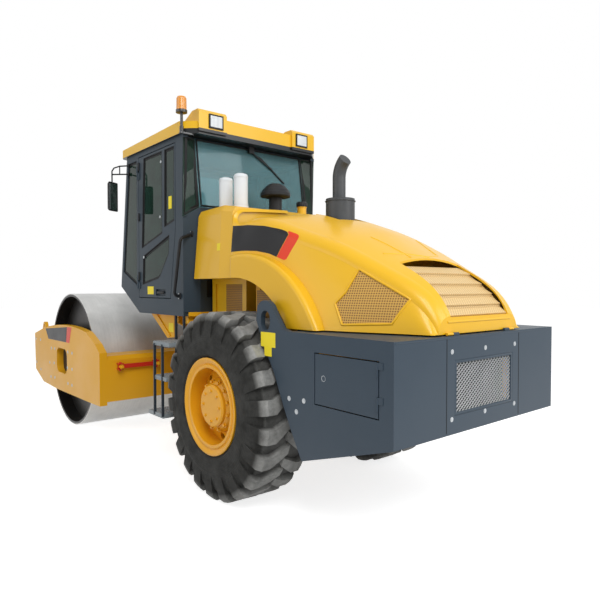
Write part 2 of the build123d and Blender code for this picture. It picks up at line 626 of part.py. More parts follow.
def hood_body(skin, ruled=False):
    """Lofted body with this much skin taken off, open below and ahead."""
    with BuildPart() as body:
        for x, foot, corner, corner_z, crown_z in hood_sections:
            ends = skin if x == hood_sections[-1][0] else min(skin, 1) if x == seam_x else 0
            low, foot, corner, corner_z = hood_foot_z - skin, foot - skin, corner - skin, corner_z - skin
            turn = shoulder_round - skin / 2
            side_top, bend, top_side = (corner + 6, corner_z - turn), (corner - 0.26 * turn, corner_z - 0.24 * turn), (
                corner - turn, corner_z + 0.12 * turn)
            belly = ((foot + side_top[0]) / 2 + 10, (low + side_top[1]) / 2)
            left = [(-y, z) for y, z in (side_top, bend, top_side, belly)]
            with BuildSketch(Plane.YZ.offset(rear_x + x + ends)):
                with BuildLine():
                    Line((-foot, low), (foot, low))
                    ThreePointArc((foot, low), belly, side_top)
                    ThreePointArc(side_top, bend, top_side)
                    ThreePointArc(top_side, (0, crown_z - skin), left[2])
                    ThreePointArc(left[2], left[1], left[0])
                    ThreePointArc(left[0], left[3], (-foot, low))
                make_face()
        loft(ruled=ruled)
    return body.part


arch_radius = 800
arch_x, arch_centre_z = -60, 960
flare_radius = 1024            # outer edge of the lip round the arch
flare_x, flare_centre_z = -130, 930
flare_y = 826
flare_round = 34
notch_half_width = 170
field_half_width = 337         # louvred field at the rear
louvre_rows = [
    # from the rear axle, height, along the field from its top
    (-1342, 1842), (-1448, 1772), (-1546, 1700), (-1628, 1630), (-1690, 1562), (-1736, 1500)]
grille_corners = [(-1195, 1800), (-1560, 1608), (-1482, 1458), (-1168, 1442), (-1090, 1578), (-1145, 1650)]

with BuildPart(mode=Mode.PRIVATE) as flare:
    with BuildSketch(Plane.XZ.offset(-690)):
        with Locations((rear_x + flare_x, flare_centre_z)):
            Circle(flare_radius)
        outline(from_rear_axle([(-1200, -200), (600, -200), (600, hood_foot_z), (-1200, hood_foot_z)]), mode=Mode.SUBTRACT)
        outline(from_rear_axle([(seam_x - 55, -200), (1200, -200), (1200, 3000), (seam_x - 55, 3000)]), mode=Mode.SUBTRACT)
    extrude(amount=690 - flare_y)
    rims = flare.faces().filter_by(Axis.Y).sort_by(Axis.Y)[-1].edges()
    fillet([edge for edge in rims if edge.center().Z > hood_foot_z + 5], radius=flare_round)

with BuildPart() as hood:
    add(hood_body(0))
    add(flare.part)
    add(mirror(flare.part, about=Plane.XZ, mode=Mode.PRIVATE))
    add(hood_body(hood_skin), mode=Mode.SUBTRACT)
    with BuildSketch(Plane.XZ.offset(-900)):
        with Locations((rear_x + arch_x, arch_centre_z)):
            Circle(arch_radius)
        outline(from_rear_axle([(arch_x, 1300), (200, 1300), (200, arch_z), (arch_x, arch_z)]))
        outline(from_rear_axle(grille_corners))
    extrude(amount=1800, mode=Mode.SUBTRACT)
    # opening round the muffler, and the field for the rear louvres
    span((rear_x + muffler_x - muffler_radius - 40, rear_x + seam_x + 50), (-notch_half_width, notch_half_width),
         (1900, 2600), mode=Mode.SUBTRACT)
    with BuildSketch(Plane.XZ.offset(-field_half_width)):
        outline(from_rear_axle([*louvre_rows, (-1900, 1500), (-1900, 2100), (-1342, 2100)]))
    extrude(amount=2 * field_half_width, mode=Mode.SUBTRACT)
    for y in (-360.5, 360.5):
        with Locations((rear_x + hood_hinge_x, y, hood_hinge_z)):
            Cylinder(hood_knuckle_radius, 60, rotation=(90, 0, 0))
        span((rear_x + hood_hinge_x, rear_x - 1745), (y - 30, y + 30), (hood_hinge_z, hood_hinge_z + 9))

# ------------------------------------------------------------------- cab floor
cab_half_width = 800
wall = 50                      # pillars and panels
floor_low_z, floor_top_z = 1412, 1450
sill_front = 1810              # where the floor starts to rise
nose_x, nose_z = 2300, 1690
roof_low_z = 3100
front_top_x = 2115
side_back = 840                # rear edge of the cab's sides
flat_half = cab_half_width - 152   # half width of the rear wall between its slanted corners
sill_back_z, rear_sill_z = 2336, 2432
rear_top_x, corner_top_x = 893, 827
gusset = [(1745, 1402), (1210, 1402), (1210, 1185), (1360, 1170)]
gusset_y = (690, 706)
cab_bearer_x = (860, 1060)

with BuildPart() as cab_base:
    with BuildSketch(Plane.XY.offset(floor_low_z)):
        edge_y = cab_half_width - wall - seat_gap
        corner_x = cab_back + (side_back - cab_back) * (edge_y - flat_half) / (cab_half_width - flat_half)
        outline(from_rear_axle([
            (cab_back, -flat_half), (sill_front - 35, -flat_half), (sill_front - 35, flat_half), (cab_back, flat_half)]))
        for side in (1, -1):
            outline(from_rear_axle([(cab_back, side * (flat_half - 1)), (sill_front - 35, side * (flat_half - 1)),
                                    (sill_front - 35, side * edge_y), (corner_x, side * edge_y), (cab_back, side * flat_half)]))
    extrude(amount=floor_top_z - floor_low_z)
    # stands on the rails and outriggers below the cab's sides
    for x in cab_bearer_x:
        span((rear_x + x, rear_x + x + 60), (-rail_outer_y, rail_outer_y), (rail_top_z, floor_low_z + 1))
        for side in (1, -1):
            with BuildSketch(Plane.YZ.offset(rear_x + x)):
                outline([(side * (rail_outer_y - 1), rail_top_z), (side * (rail_outer_y - 1), floor_low_z + 1),
                         (side * 740, floor_low_z + 1), (side * 740, floor_low_z - 70)])
            extrude(amount=60)
    # gussets below the doors
    for side in (1, -1):
        with BuildSketch(Plane.XZ.offset(-side * gusset_y[0])):
            outline(from_rear_axle([(x, z + 11 if z > 1400 else z) for x, z in gusset]))
        extrude(amount=-side * (gusset_y[1] - gusset_y[0]))
        with BuildSketch(Plane.XZ.offset(-side * gusset_y[1])):
            outline(from_rear_axle(strip((1590, 1400), (1290, 1195), -9, 9)))
        extrude(amount=-side * 12)

cab_side = from_rear_axle([
    # ahead of the rear axle, height
    (side_back, floor_low_z), (sill_front, floor_low_z), (nose_x, nose_z),
    (front_top_x, roof_low_z), (side_back - 14, roof_low_z), (side_back - 14, sill_back_z), (side_back, sill_back_z)])
door_outline = [(1095, 1570), (1822, 1570), (1822, 3050), (985, 3050), (985, 2250)]
front_pane = [(1877, 1700), (2235, 1850), (2078, 3025), (1862, 3025)]
glass_lip = 60
door_hinge_x, door_hinge_y = 1822, cab_half_width + 10
door_hinge_z = (1700, 2850)
door_knuckle_radius = 9
windshield_z = (1870, 3005)

front_low, front_high = from_rear_axle([(nose_x, nose_z), (front_top_x, roof_low_z)])
rear_low, rear_high = from_rear_axle([(side_back - 40, rear_sill_z), (rear_top_x, roof_low_z - 5)])
inner_half = cab_half_width - wall


def quarter_slab(outer, inner, y_range, lift):
    """Twisted slab between the side's rear edge and the rear window's, x from the glass's outer face."""
    with BuildPart(mode=Mode.PRIVATE) as slab:
        for y in y_range:
            out = (y - flat_half) / (cab_half_width - flat_half)
            foot, foot_z, top, top_z = (flat + (corner - flat) * out for flat, corner in (
                (side_back - 40, side_back + 8), (rear_sill_z + lift, sill_back_z + lift),
                (rear_top_x, corner_top_x), (roof_low_z - 8, roof_low_z - 35)))
            with BuildSketch(Plane.XZ.offset(-y)):
                outline(from_rear_axle([(foot + outer, foot_z), (foot + inner, foot_z),
                                        (top + inner, top_z), (top + outer, top_z)]))
        loft(ruled=True)
    return slab.part


pane = 8
with BuildPart() as cab_frame:
    with BuildSketch(Plane.XZ.offset(-cab_half_width)):
        outline(cab_side)
        for opening in (door_outline, front_pane):
            outline(from_rear_axle(opening), mode=Mode.SUBTRACT)
    extrude(amount=wall)
    for z in door_hinge_z:
        with Locations((rear_x + door_hinge_x, door_hinge_y, z + 71)):
            Cylinder(door_knuckle_radius, 70)
        span((rear_x + door_hinge_x, rear_x + door_hinge_x + 35), (cab_half_width - 1, door_hinge_y), (z + 36, z + 106))
    add(quarter_slab(-80, pane + seat_gap, (cab_half_width - wall - 20, cab_half_width + 10), 0), mode=Mode.SUBTRACT)
    mirror(about=Plane.XZ)
    # front wall between the sides, with the rising floor, and the frame below the roof
    with BuildSketch(Plane.XZ.offset(-inner_half)):
        outline(strip(front_low, front_high, -wall, 0))
        outline(strip(*from_rear_axle([(sill_front, floor_low_z), (nose_x, nose_z)]), -wall, 0))
        outline(from_rear_axle([(rear_top_x + 14, roof_low_z - 40), (front_top_x - 20, roof_low_z - 40),
                                (front_top_x - 20, roof_low_z), (rear_top_x + 14, roof_low_z)]))
    extrude(amount=2 * inner_half)
    # rear wall with its slanted corners
    with BuildSketch(Plane.XY.offset(floor_top_z)):
        outline(from_rear_axle([(side_back + 1, cab_half_width), (side_back, cab_half_width), (cab_back, flat_half),
                                (cab_back, -flat_half), (side_back, -cab_half_width), (side_back + 1, -cab_half_width)]))
    extrude(amount=rear_sill_z - floor_top_z)
    with BuildSketch(Plane.YZ.offset(rear_x + cab_back - 10)):
        for side in (1, -1):
            outline([(side * flat_half, rear_sill_z), (side * (cab_half_width + 5), sill_back_z - 3),
                     (side * (cab_half_width + 5), rear_sill_z + 20), (side * flat_half, rear_sill_z + 20)])
    extrude(amount=side_back - cab_back + 12, mode=Mode.SUBTRACT)
    span((rear_x + cab_back - 1, rear_x + cab_back + 12), (70 - flat_half, flat_half - 70), (1585, 1755), mode=Mode.SUBTRACT)
    # windshield and the opening below the roof
    span((rear_x + 1900, rear_x + 2400), (-inner_half + glass_lip, inner_half - glass_lip), windshield_z, mode=Mode.SUBTRACT)
    span((rear_x + 980, rear_x + 1950), (-inner_half + 60, inner_half - 60), (3000, 3150), mode=Mode.SUBTRACT)

pane_inset = 12                # glass behind the outer faces


def slanted(low, high, z_range, inner, outer):
    """Corners of a flat bar between two heights of a leaning wall."""
    slope = (high[0] - low[0]) / (high[1] - low[1])
    foot, head = (low[0] + slope * (z - low[1]) for z in z_range)
    return [(foot + inner, z_range[0]), (head + inner, z_range[1]), (head + outer, z_range[1]), (foot + outer, z_range[0])]


with BuildPart() as cab_glass:
    with BuildSketch(Plane.XZ.offset(pane_inset - cab_half_width)):
        outline(from_rear_axle(front_pane))
        offset(amount=-seat_gap, mode=Mode.REPLACE)
    extrude(amount=pane)
    add(quarter_slab(0, pane, (flat_half + seat_gap, cab_half_width - 2), seat_gap))
    mirror(about=Plane.XZ)
    for low, high, outer, inner, (z_low, z_high), half in (
            (front_low, front_high, -pane_inset, -pane_inset - pane, windshield_z, inner_half - glass_lip),
            (rear_low, rear_high, 0, pane, (rear_sill_z, roof_low_z - 8), flat_half)):
        with BuildSketch(Plane.XZ.offset(seat_gap - half)):
            outline(slanted(low, high, (z_low + seat_gap, z_high - seat_gap), outer, inner))
        extrude(amount=2 * (half - seat_gap))

roof_x = (735, 2230)
roof_half_width = cab_half_width + 25
roof_side_z = (roof_low_z + 114, roof_low_z + 84)     # at the rear, at the front
crown_z = roof_low_z + 172
bump_y = (400, 700)            # rear corners' raised housings for the lamps
bump_top_z = roof_low_z + 225
lamp_y, lamp_z = (445, 598), (roof_low_z + 60, roof_low_z + 190)
lamp_face_x = roof_x[0] - 35
front_lamp = (520, 80, 55)     # from the middle, half width, depth
with BuildPart() as cab_roof:
    back, front = (rear_x + x for x in roof_x)
    with BuildSketch(Plane.XY.offset(roof_low_z)):
        outline([(back, -roof_half_width + 135), (back + 125, -roof_half_width), (front - 60, -roof_half_width),
                 (front - 18, -roof_half_width + 18), (front, -roof_half_width + 60), (front, roof_half_width - 60),
                 (front - 18, roof_half_width - 18), (front - 60, roof_half_width), (back + 125, roof_half_width),
                 (back, roof_half_width - 135)])
    extrude(amount=roof_side_z[0] - roof_low_z)
    with BuildSketch(Plane.XZ.offset(-roof_half_width - 5)):
        outline([(back - 5, roof_side_z[0]), (front + 5, roof_side_z[1]), (front + 5, crown_z + 50), (back - 5, crown_z + 50)])
    extrude(amount=2 * roof_half_width + 10, mode=Mode.SUBTRACT)
    with BuildSketch(Plane.XY.offset(roof_side_z[1] - 2)):
        with Locations(((back + front) / 2 - 25, 0)):
            Rectangle(front - back - 140, 2 * roof_half_width - 180)
    extrude(amount=crown_z - roof_side_z[1] + 2, taper=35)
    span((back, back + 200), (-bump_y[0] - 5, bump_y[0] + 5), (roof_low_z + 45, crown_z))
    for side in (1, -1):
        with BuildSketch(Plane.XZ.offset(-side * bump_y[0])):
            outline([(back - 23, roof_low_z + 20), (back - 23, bump_top_z - 25), (back, bump_top_z), (back + 105, bump_top_z),
                     (back + 265, crown_z - 17), (back + 265, roof_low_z + 20)])
        extrude(amount=-side * (bump_y[1] - bump_y[0]))
        edges = sorted((side * (lamp_y[0] - seat_gap), side * (lamp_y[1] + seat_gap)))
        span((back - 60, back + 35), edges, (lamp_z[0] - seat_gap, lamp_z[1] + seat_gap), mode=Mode.SUBTRACT)

with BuildPart() as work_lamps:
    for side in (1, -1):
        span((rear_x + lamp_face_x, back + 35 - seat_gap), sorted((side * lamp_y[0], side * lamp_y[1])), lamp_z)
        middle, half, depth = front_lamp
        span((front, front + depth), (side * middle - half, side * middle + half), (roof_low_z + 6, roof_low_z + 80))

beacon_at = (800, roof_half_width + 5)
beacon_outline = [
    # from its axis, above the roof's lower edge
    (0, 40), (13, 40), (13, 168), (52, 172), (52, 196), (47, 200), (46, 300), (38, 316), (22, 322), (0, 323)]
with BuildPart() as beacon:
    span((rear_x + beacon_at[0] - 18, rear_x + beacon_at[0] + 18), (roof_half_width - 110, beacon_at[1] + 16),
         (roof_low_z - 14, roof_low_z))
    with Locations((rear_x + beacon_at[0], beacon_at[1], roof_low_z - 10)):
        Cylinder(20, 60, align=(Align.CENTER, Align.CENTER, Align.MIN))
    with BuildSketch(Plane.XZ.offset(-beacon_at[1])):
        outline([(rear_x + beacon_at[0] + r, roof_low_z + z) for r, z in beacon_outline])
    revolve(axis=Axis((rear_x + beacon_at[0], beacon_at[1], 0), (0, 0, 1)))

mirror_x = 2075
mirror_arms = [
    # each arm's corners: outside the cab's side, below the roof
    [(0, 80), (20, 80), (172, 158), (190, 300)],
    [(0, 150), (20, 150), (165, 215), (182, 340)]]
mirror_outline = [
    # half width, below the roof
    (58, 610), (72, 540), (76, 320), (62, 288), (-62, 288), (-76, 320), (-72, 540), (-58, 610)]
mirror_turn = radians(30)
with BuildPart() as mirrors:
    for corners in mirror_arms:
        with BuildLine(Plane.YZ.offset(rear_x + mirror_x)):
            FilletPolyline(*[(cab_half_width + out, roof_low_z - drop) for out, drop in corners], radius=18)
        with BuildSketch(Plane(origin=(rear_x + mirror_x, cab_half_width, roof_low_z - corners[0][1]), z_dir=(0, 1, 0))):
            RegularPolygon(9, 8)
        sweep()
    head_plane = Plane(origin=(rear_x + mirror_x, cab_half_width + 192, roof_low_z),
                       x_dir=(sin(mirror_turn), cos(mirror_turn), 0), z_dir=(-cos(mirror_turn), sin(mirror_turn), 0))
    with BuildSketch(head_plane.offset(-18)):
        outline(mirror_outline)
    extrude(amount=36)
    mirror(about=Plane.XZ)

# ----------------------------------------------------------------- cab inside
seat_x = 1130
with BuildPart() as operator_seat:
    span((rear_x + seat_x, rear_x + seat_x + 420), (-180, 180), (floor_top_z, 1750))
    span((rear_x + seat_x - 40, rear_x + seat_x + 460), (-240, 240), (1750, 1880))
    with BuildSketch(Plane.XZ.offset(-230)):
        outline(from_rear_axle([(seat_x - 40, 1850), (seat_x + 70, 1850), (seat_x - 20, 2480), (seat_x - 110, 2480)]))
    extrude(amount=460)

column_x = 1980
floor_rise = (nose_z - floor_low_z) / (nose_x - sill_front)


def floor_at(x):
    """Height of the rising floor's upper face, x from the rear axle."""
    return floor_low_z + (x - sill_front) * floor_rise + wall * hypot(1, floor_rise)


with BuildPart() as steering_column:
    with BuildSketch(Plane.XZ.offset(-60)):
        outline(from_rear_axle([(x, floor_at(x) + seat_gap) for x in (column_x - 40, column_x + 90)]
                               + [(column_x - 190, 2215), (column_x - 270, 2200)]))
    extrude(amount=120)
    wheel_plane = Plane(origin=(rear_x + column_x - 235, 0, 2215), x_dir=(0, 1, 0), z_dir=(-220, 0, 540))
    with BuildSketch(wheel_plane):
        Circle(190)
        Circle(165, mode=Mode.SUBTRACT)
        Rectangle(340, 30)
        Circle(55)
    extrude(amount=26, both=True)

with BuildPart() as control_console:
    for side in (1, -1):
        edges = sorted((side * 320, side * 560))
        span((rear_x + 1000, rear_x + 1560), edges, (floor_top_z, 1960))

# ------------------------------------------------------- handles, steps, wiper
handle_radius = 15
with BuildPart() as grab_handles:
    low, high = (rear_x + 905, cab_half_width + 62, 1600), (rear_x + 775, cab_half_width + 62, 2130)
    with BuildLine():
        FilletPolyline((low[0], cab_half_width, low[2]), low, high, (rear_x + 822, flat_half + 70, 2178), radius=45)
    with BuildSketch(Plane(origin=(low[0], cab_half_width, low[2]), z_dir=(0, 1, 0))):
        RegularPolygon(handle_radius, 10)
    sweep()
    # ends on the slanted corner
    with BuildSketch(Plane.XY.offset(1900)):
        lean = hypot(side_back - cab_back, cab_half_width - flat_half)
        nx, ny = (cab_half_width - flat_half) / lean, (cab_back - side_back) / lean
        edge = [(x - seat_gap * nx, y - seat_gap * ny) for x, y in ((cab_back, flat_half), (side_back, cab_half_width))]
        outline(from_rear_axle(edge + [(x + 60 * nx, y + 60 * ny) for x, y in reversed(edge)]))
    extrude(amount=400, mode=Mode.SUBTRACT)
    mirror(about=Plane.XZ)

steps = [
    # rear edge, front edge, height
    (715, 1040, 1165), (775, 1020, 850), (845, 1140, 505)]
step_y = (790, 1010)
with BuildPart() as access_steps:
    for back, front, z in steps:
        span((rear_x + back, rear_x + front), step_y, (z - 18, z + 18))
    for y in step_y:
        for x in (840, 1000):
            span((rear_x + x, rear_x + x + 12), (y - 12, y + 12), (505, floor_low_z if y == step_y[0] else 1165))
    span((rear_x + 860, rear_x + 920), (rail_outer_y, step_y[0]), (1120, 1165))
    mirror(about=Plane.XZ)

rear_lean = hypot(rear_high[0] - rear_low[0], rear_high[1] - rear_low[1]) / (rear_high[1] - rear_low[1])
rear_face = Plane(origin=(rear_low[0], 0, rear_low[1]), x_dir=(0, 1, 0),
                  z_dir=(rear_high[1] - rear_low[1], 0, rear_low[0] - rear_high[0]))
wiper_bars = [
    # start and end: y, height; half width; outer and inner face outside the glass
    ((17, 3060), (-235, 2905), 8, 22, 14), ((-97, 3018), (-390, 2777), 6, 15, seat_gap)]
with BuildPart() as rear_wiper:
    span((rear_x + 850, rear_x + 876), (-12, 46), (3040, roof_low_z))
    for start, end, half, outer, inner in wiper_bars:
        with BuildSketch(rear_face.offset(-outer)):
            outline(strip(*[(y, (z - rear_low[1]) * rear_lean) for y, z in (start, end)], -half, half))
        extrude(amount=outer - inner)

# ----------------------------------------------------------------------- doors
door_thickness = 42
door_panes = (
    [(1270, 2212), (1745, 2090), (1690, 3020), (1270, 3020)],
    [(1016, 2314), (1222, 2269), (1212, 3020), (1014, 3020)],
    [(1120, 2190), (1132, 2008), (1319, 1795), (1362, 1769), (1728, 1708), (1713, 2006)])
handle_x, handle_z = (1200, 1420), (1598, 1662)
with BuildPart() as door_left:
    with BuildSketch(Plane.XZ.offset(-cab_half_width)):
        outline(from_rear_axle(door_outline))
        offset(amount=-clear, kind=Kind.INTERSECTION, mode=Mode.REPLACE)
        for corners in door_panes:
            outline(from_rear_axle(corners), mode=Mode.SUBTRACT)
    extrude(amount=door_thickness)
    span([rear_x + x for x in handle_x], (cab_half_width - 22, cab_half_width + 1), handle_z, mode=Mode.SUBTRACT)
    for z in door_hinge_z:
        with Locations((rear_x + door_hinge_x, door_hinge_y, z)):
            Cylinder(door_knuckle_radius, 70)
        span((rear_x + door_hinge_x - 42, rear_x + door_hinge_x), (cab_half_width - 1, door_hinge_y), (z - 35, z + 35))
with BuildPart() as door_glass_left:
    for corners in door_panes:
        with BuildSketch(Plane.XZ.offset(pane_inset - cab_half_width)):
            outline(from_rear_axle(corners))
            offset(amount=-seat_gap, mode=Mode.REPLACE)
        extrude(amount=pane)

# ------------------------------------------------------------- hood's openings
louvre_thickness = 12
louvre_step = 24               # each slat's upper end below the lip of the one above
panel_depth = (5, 17)          # hexagonal side panels, below the hood's surface
with BuildPart() as hood_grilles:
    half = field_half_width - seat_gap
    rows = from_rear_axle(louvre_rows)
    with BuildSketch(Plane.XZ.offset(-half)):
        for (x, z), (next_x, next_z) in zip(rows, rows[1:]):
            start = (x, z - louvre_step)
            outline(strip(start, (next_x, next_z), seat_gap, louvre_thickness + seat_gap))
            riser = (next_z - 1, next_z - louvre_step - 14)
            outline([(next_x, riser[0]), (next_x + 14, riser[0]), (next_x + 14, riser[1]), (next_x, riser[1])])
    extrude(amount=2 * half)
    for side in (1, -1):
        with BuildSketch(Plane.XZ.offset(-side * (half - 1))):
            side_rows = [(x - 45, z - 31) if n == 0 else (x, z - 2) for n, (x, z) in enumerate(rows[:-1])]
            outline(side_rows + [(x, z - louvre_step - 12) for x, z in reversed(side_rows)])
        extrude(amount=-side * 9)
with BuildPart(mode=Mode.PRIVATE) as side_panels:
    add(hood_body(panel_depth[0]))
    add(hood_body(panel_depth[1], ruled=True), mode=Mode.SUBTRACT)
    with BuildSketch(Plane.XZ.offset(-900)):
        outline(from_rear_axle(grille_corners))
        offset(amount=-seat_gap, kind=Kind.INTERSECTION, mode=Mode.REPLACE)
    extrude(amount=1800, mode=Mode.INTERSECT)

# --------------------------------------------------------------------- output
pieces = {
    "tyre_left": tyre_left.part, "tyre_right": mirror(tyre_left.part, about=Plane.XZ),
    "rim_left": rim_left.part, "rim_right": mirror(rim_left.part, about=Plane.XZ),
    "rear_axle": rear_axle.part, "rear_frame": rear_frame.part, "centre_link": centre_link.part,
    "steer_barrel_left": barrels["left"], "steer_barrel_right": barrels["right"],
    "steer_rod_left": rods["left"], "steer_rod_right": rods["right"],
    "front_frame": front_frame.part, "drum": drum.part, "drum_mounts": drum_mounts.part,
    "scrapers": scrapers.part, "lock_bar": lock_bar.part,
    "counterweight": counterweight.part, "rear_grille": rear_grille.part,
    "tool_door_left": tool_door_left.part, "tool_door_right": mirror(tool_door_left.part, about=Plane.XZ),
    "engine_block": engine_block.part, "radiator": radiator.part, "tank_shell": tank_shell.part,
    "filter_canisters": filter_canisters.part, "air_precleaner": air_precleaner.part,
    "exhaust_stack": exhaust_stack.part, "hood": hood.part, "hood_grilles": hood_grilles.part + side_panels.part,
    "cab_base": cab_base.part, "cab_frame": cab_frame.part, "cab_glass": cab_glass.part,
    "cab_roof": cab_roof.part, "work_lamps": work_lamps.part, "beacon": beacon.part, "mirrors": mirrors.part,
    "operator_seat": operator_seat.part, "steering_column": steering_column.part,
    "control_console": control_console.part, "grab_handles": grab_handles.part,
    "access_steps": access_steps.part, "rear_wiper": rear_wiper.part,
    "door_left": door_left.part, "door_right": mirror(door_left.part, about=Plane.XZ),
    "door_glass_left": door_glass_left.part, "door_glass_right": mirror(door_glass_left.part, about=Plane.XZ),
}
for name, part in pieces.items():
    save(part, name)
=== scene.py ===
# Single-drum soil compactor: enamel, glass, rubber and steel over its fixed frame.
import math

import bpy
from mathutils import Matrix, Vector


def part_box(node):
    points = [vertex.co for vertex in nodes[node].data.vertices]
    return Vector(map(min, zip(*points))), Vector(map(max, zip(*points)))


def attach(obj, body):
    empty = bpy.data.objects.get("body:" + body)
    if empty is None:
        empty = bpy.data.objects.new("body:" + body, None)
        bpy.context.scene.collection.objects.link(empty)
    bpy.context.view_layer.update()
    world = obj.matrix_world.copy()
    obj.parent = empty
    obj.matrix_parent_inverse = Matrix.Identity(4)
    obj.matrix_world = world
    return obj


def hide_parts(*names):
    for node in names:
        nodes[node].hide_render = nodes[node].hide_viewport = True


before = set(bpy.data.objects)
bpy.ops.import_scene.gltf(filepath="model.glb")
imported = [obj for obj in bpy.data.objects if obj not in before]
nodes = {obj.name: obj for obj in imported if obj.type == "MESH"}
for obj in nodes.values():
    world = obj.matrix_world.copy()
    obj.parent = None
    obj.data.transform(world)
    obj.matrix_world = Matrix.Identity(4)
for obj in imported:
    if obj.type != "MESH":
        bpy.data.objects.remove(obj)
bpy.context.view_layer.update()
print("loaded", len(nodes), "nodes")

rearAxle = -1.345  # along the machine; most places below are measured from it
drumAxle = 1.865
wheelHeight, drumHeight = 0.745, 0.8
sides = ((1, "left"), (-1, "right"))
up = (0, 0, 1)

camera = {"place": (-5.1208, 3.2497, 1.6935), "aim": (0.766784, -0.641409, -0.025233), "lens": 33.05}


def placed(name, data):  # a new object in the scene, holding this data
    thing = bpy.data.objects.new(name, data)
    bpy.context.scene.collection.objects.link(thing)
    return thing


def placeCamera():
    data = bpy.data.cameras.new("camera")
    data.lens = camera["lens"]
    data.sensor_width = 36
    data.clip_end = 200
    thing = placed("camera", data)
    thing.location = camera["place"]
    thing.rotation_euler = Vector(camera["aim"]).to_track_quat("-Z", "Y").to_euler()
    bpy.context.scene.camera = thing


placeCamera()
bpy.context.scene.view_settings.view_transform = "Standard"


def rear(x, y, z):  # a place measured from the rear axle
    return Vector((x + rearAxle, y, z))


def pick(*things):
    bpy.ops.object.select_all(action="DESELECT")
    for thing in things:
        thing.select_set(True)
    bpy.context.view_layer.objects.active = things[-1]


def start(kind, **settings):  # a primitive at its size and place, with that place in its mesh
    bpy.ops.object.select_all(action="DESELECT")
    scale = settings.pop("scale", (1, 1, 1))
    getattr(bpy.ops.mesh, "primitive_" + kind + "_add")(**settings)
    bpy.context.object.scale = scale
    bpy.ops.object.transform_apply(location=True, rotation=True, scale=True)
    return bpy.context.object


def shape(thing, kind, **settings):  # a modifier, applied at once
    pick(thing)
    modifier = thing.modifiers.new("shape", kind)
    for name, value in settings.items():
        setattr(modifier, name, value)
    bpy.ops.object.modifier_apply(modifier=modifier.name)
    return thing


def soften(thing, width, segments=2):
    return shape(thing, "BEVEL", width=width, segments=segments, limit_method="ANGLE",
                 angle_limit=math.radians(30))


def every(face):
    return True


def facing(way, limit=0.9):  # a test for the faces that look one way
    return lambda face: face.normal.dot(Vector(way)) > limit


def editFaces(thing, test):  # leaves edit mode open, with the faces that pass the test selected
    pick(thing)
    bpy.ops.object.mode_set(mode="EDIT")
    bpy.ops.mesh.select_mode(type="FACE")
    bpy.ops.mesh.select_all(action="DESELECT")
    done()
    for face in thing.data.polygons:
        face.select = test(face)
    bpy.ops.object.mode_set(mode="EDIT")


def editEdges(thing, test):  # the same for edges, tested by the places of their two ends
    editFaces(thing, lambda face: False)
    bpy.ops.mesh.select_mode(type="EDGE")
    done()
    for edge in thing.data.edges:
        edge.select = test(*(thing.data.vertices[i].co for i in edge.vertices))
    bpy.ops.object.mode_set(mode="EDIT")


def done():
    bpy.ops.object.mode_set(mode="OBJECT")


def stamp(thing, way, widths, move, each=False, limit=0.9):  # insets the faces on one side, then moves them
    editFaces(thing, facing(way, limit))
    for width in widths:
        bpy.ops.mesh.inset(thickness=width, use_individual=each)
    bpy.ops.transform.translate(value=move)
    done()
    return thing


def extrude(move):  # the selected faces or edges, while edit mode is open
    bpy.ops.mesh.extrude_region_move(TRANSFORM_OT_translate={"value": move})


def split(thing, test, cuts):
    editFaces(thing, test)
    bpy.ops.mesh.subdivide(number_cuts=cuts)
    done()


def turnOutward(thing):
    editFaces(thing, every)
    bpy.ops.mesh.normals_make_consistent(inside=False)
    done()


def block(low, high, edge=0.002):
    size = [b - a for a, b in zip(low, high)]
    thing = start("cube", size=1, location=[(a + b) / 2 for a, b in zip(low, high)], scale=size)
    return soften(thing, edge) if edge else thing


def slab(side, low, high, edge=0):  # a block given from the rear axle for the left side, built on either side
    ys = sorted((side * low[1], side * high[1]))
    return block(rear(low[0], ys[0], low[2]), rear(high[0], ys[1], high[2]), edge)


def disc(radius, depth, vertices):  # lies on the ground plane, to be pointed elsewhere later
    return start("cylinder", vertices=vertices, radius=radius, depth=depth, location=(0, 0, depth / 2))


def bar(points, radius, round=2, closed=False):  # a rod along points, ends capped
    curve = bpy.data.curves.new("bar", "CURVE")
    curve.dimensions = "3D"
    curve.bevel_depth = radius
    curve.bevel_resolution = round
    curve.use_fill_caps = True
    line = curve.splines.new("POLY")
    line.points.add(len(points) - 1)
    for point, place in zip(line.points, points):
        point.co = (*place, 1)
    line.use_cyclic_u = closed
    pick(placed("bar", curve))
    bpy.ops.object.convert(target="MESH")
    return bpy.context.object


def turned(degrees, axis):
    return Matrix.Rotation(math.radians(degrees), 4, axis)


def toward(place, outward):  # takes a piece from the origin to a place, its top pointing outward
    return Matrix.Translation(place) @ Vector(outward).to_track_quat("Z", "Y").to_matrix().to_4x4()


# Matrices that point away from one side of the machine, at these x and z.
def sideways(side, y, pairs, axle=rearAxle):
    return [toward((axle + x, side * y, z), (0, side, 0)) for x, z in pairs]


def together(*things):
    pick(*things)
    if len(things) > 1:
        bpy.ops.object.join()
    return bpy.context.object


def spread(model, matrices):  # copies with their own meshes, joined as one piece
    copies = []
    for matrix in matrices:
        copies.append(placed(model.name, model.data.copy()))
        copies[-1].data.transform(matrix)
    bpy.data.objects.remove(model)
    return together(*copies)


def alongLine(points, share):  # the place at a share of the way along a line of points
    lengths = [math.dist(a, b) for a, b in zip(points, points[1:])]
    left = share * sum(lengths)
    for a, b, length in zip(points, points[1:], lengths):
        if left <= length + 1e-9:
            return [p + (q - p) * left / length for p, q in zip(a, b)]
        left -= length
    return list(points[-1])


def traceHood(starts, direction, lift):  # where lines from these places first meet the hood, moved by lift
    hits = [nodes["hood"].ray_cast(place, direction) for place in starts]
    return [where + Vector(lift) for hit, where, normal, index in hits if hit]


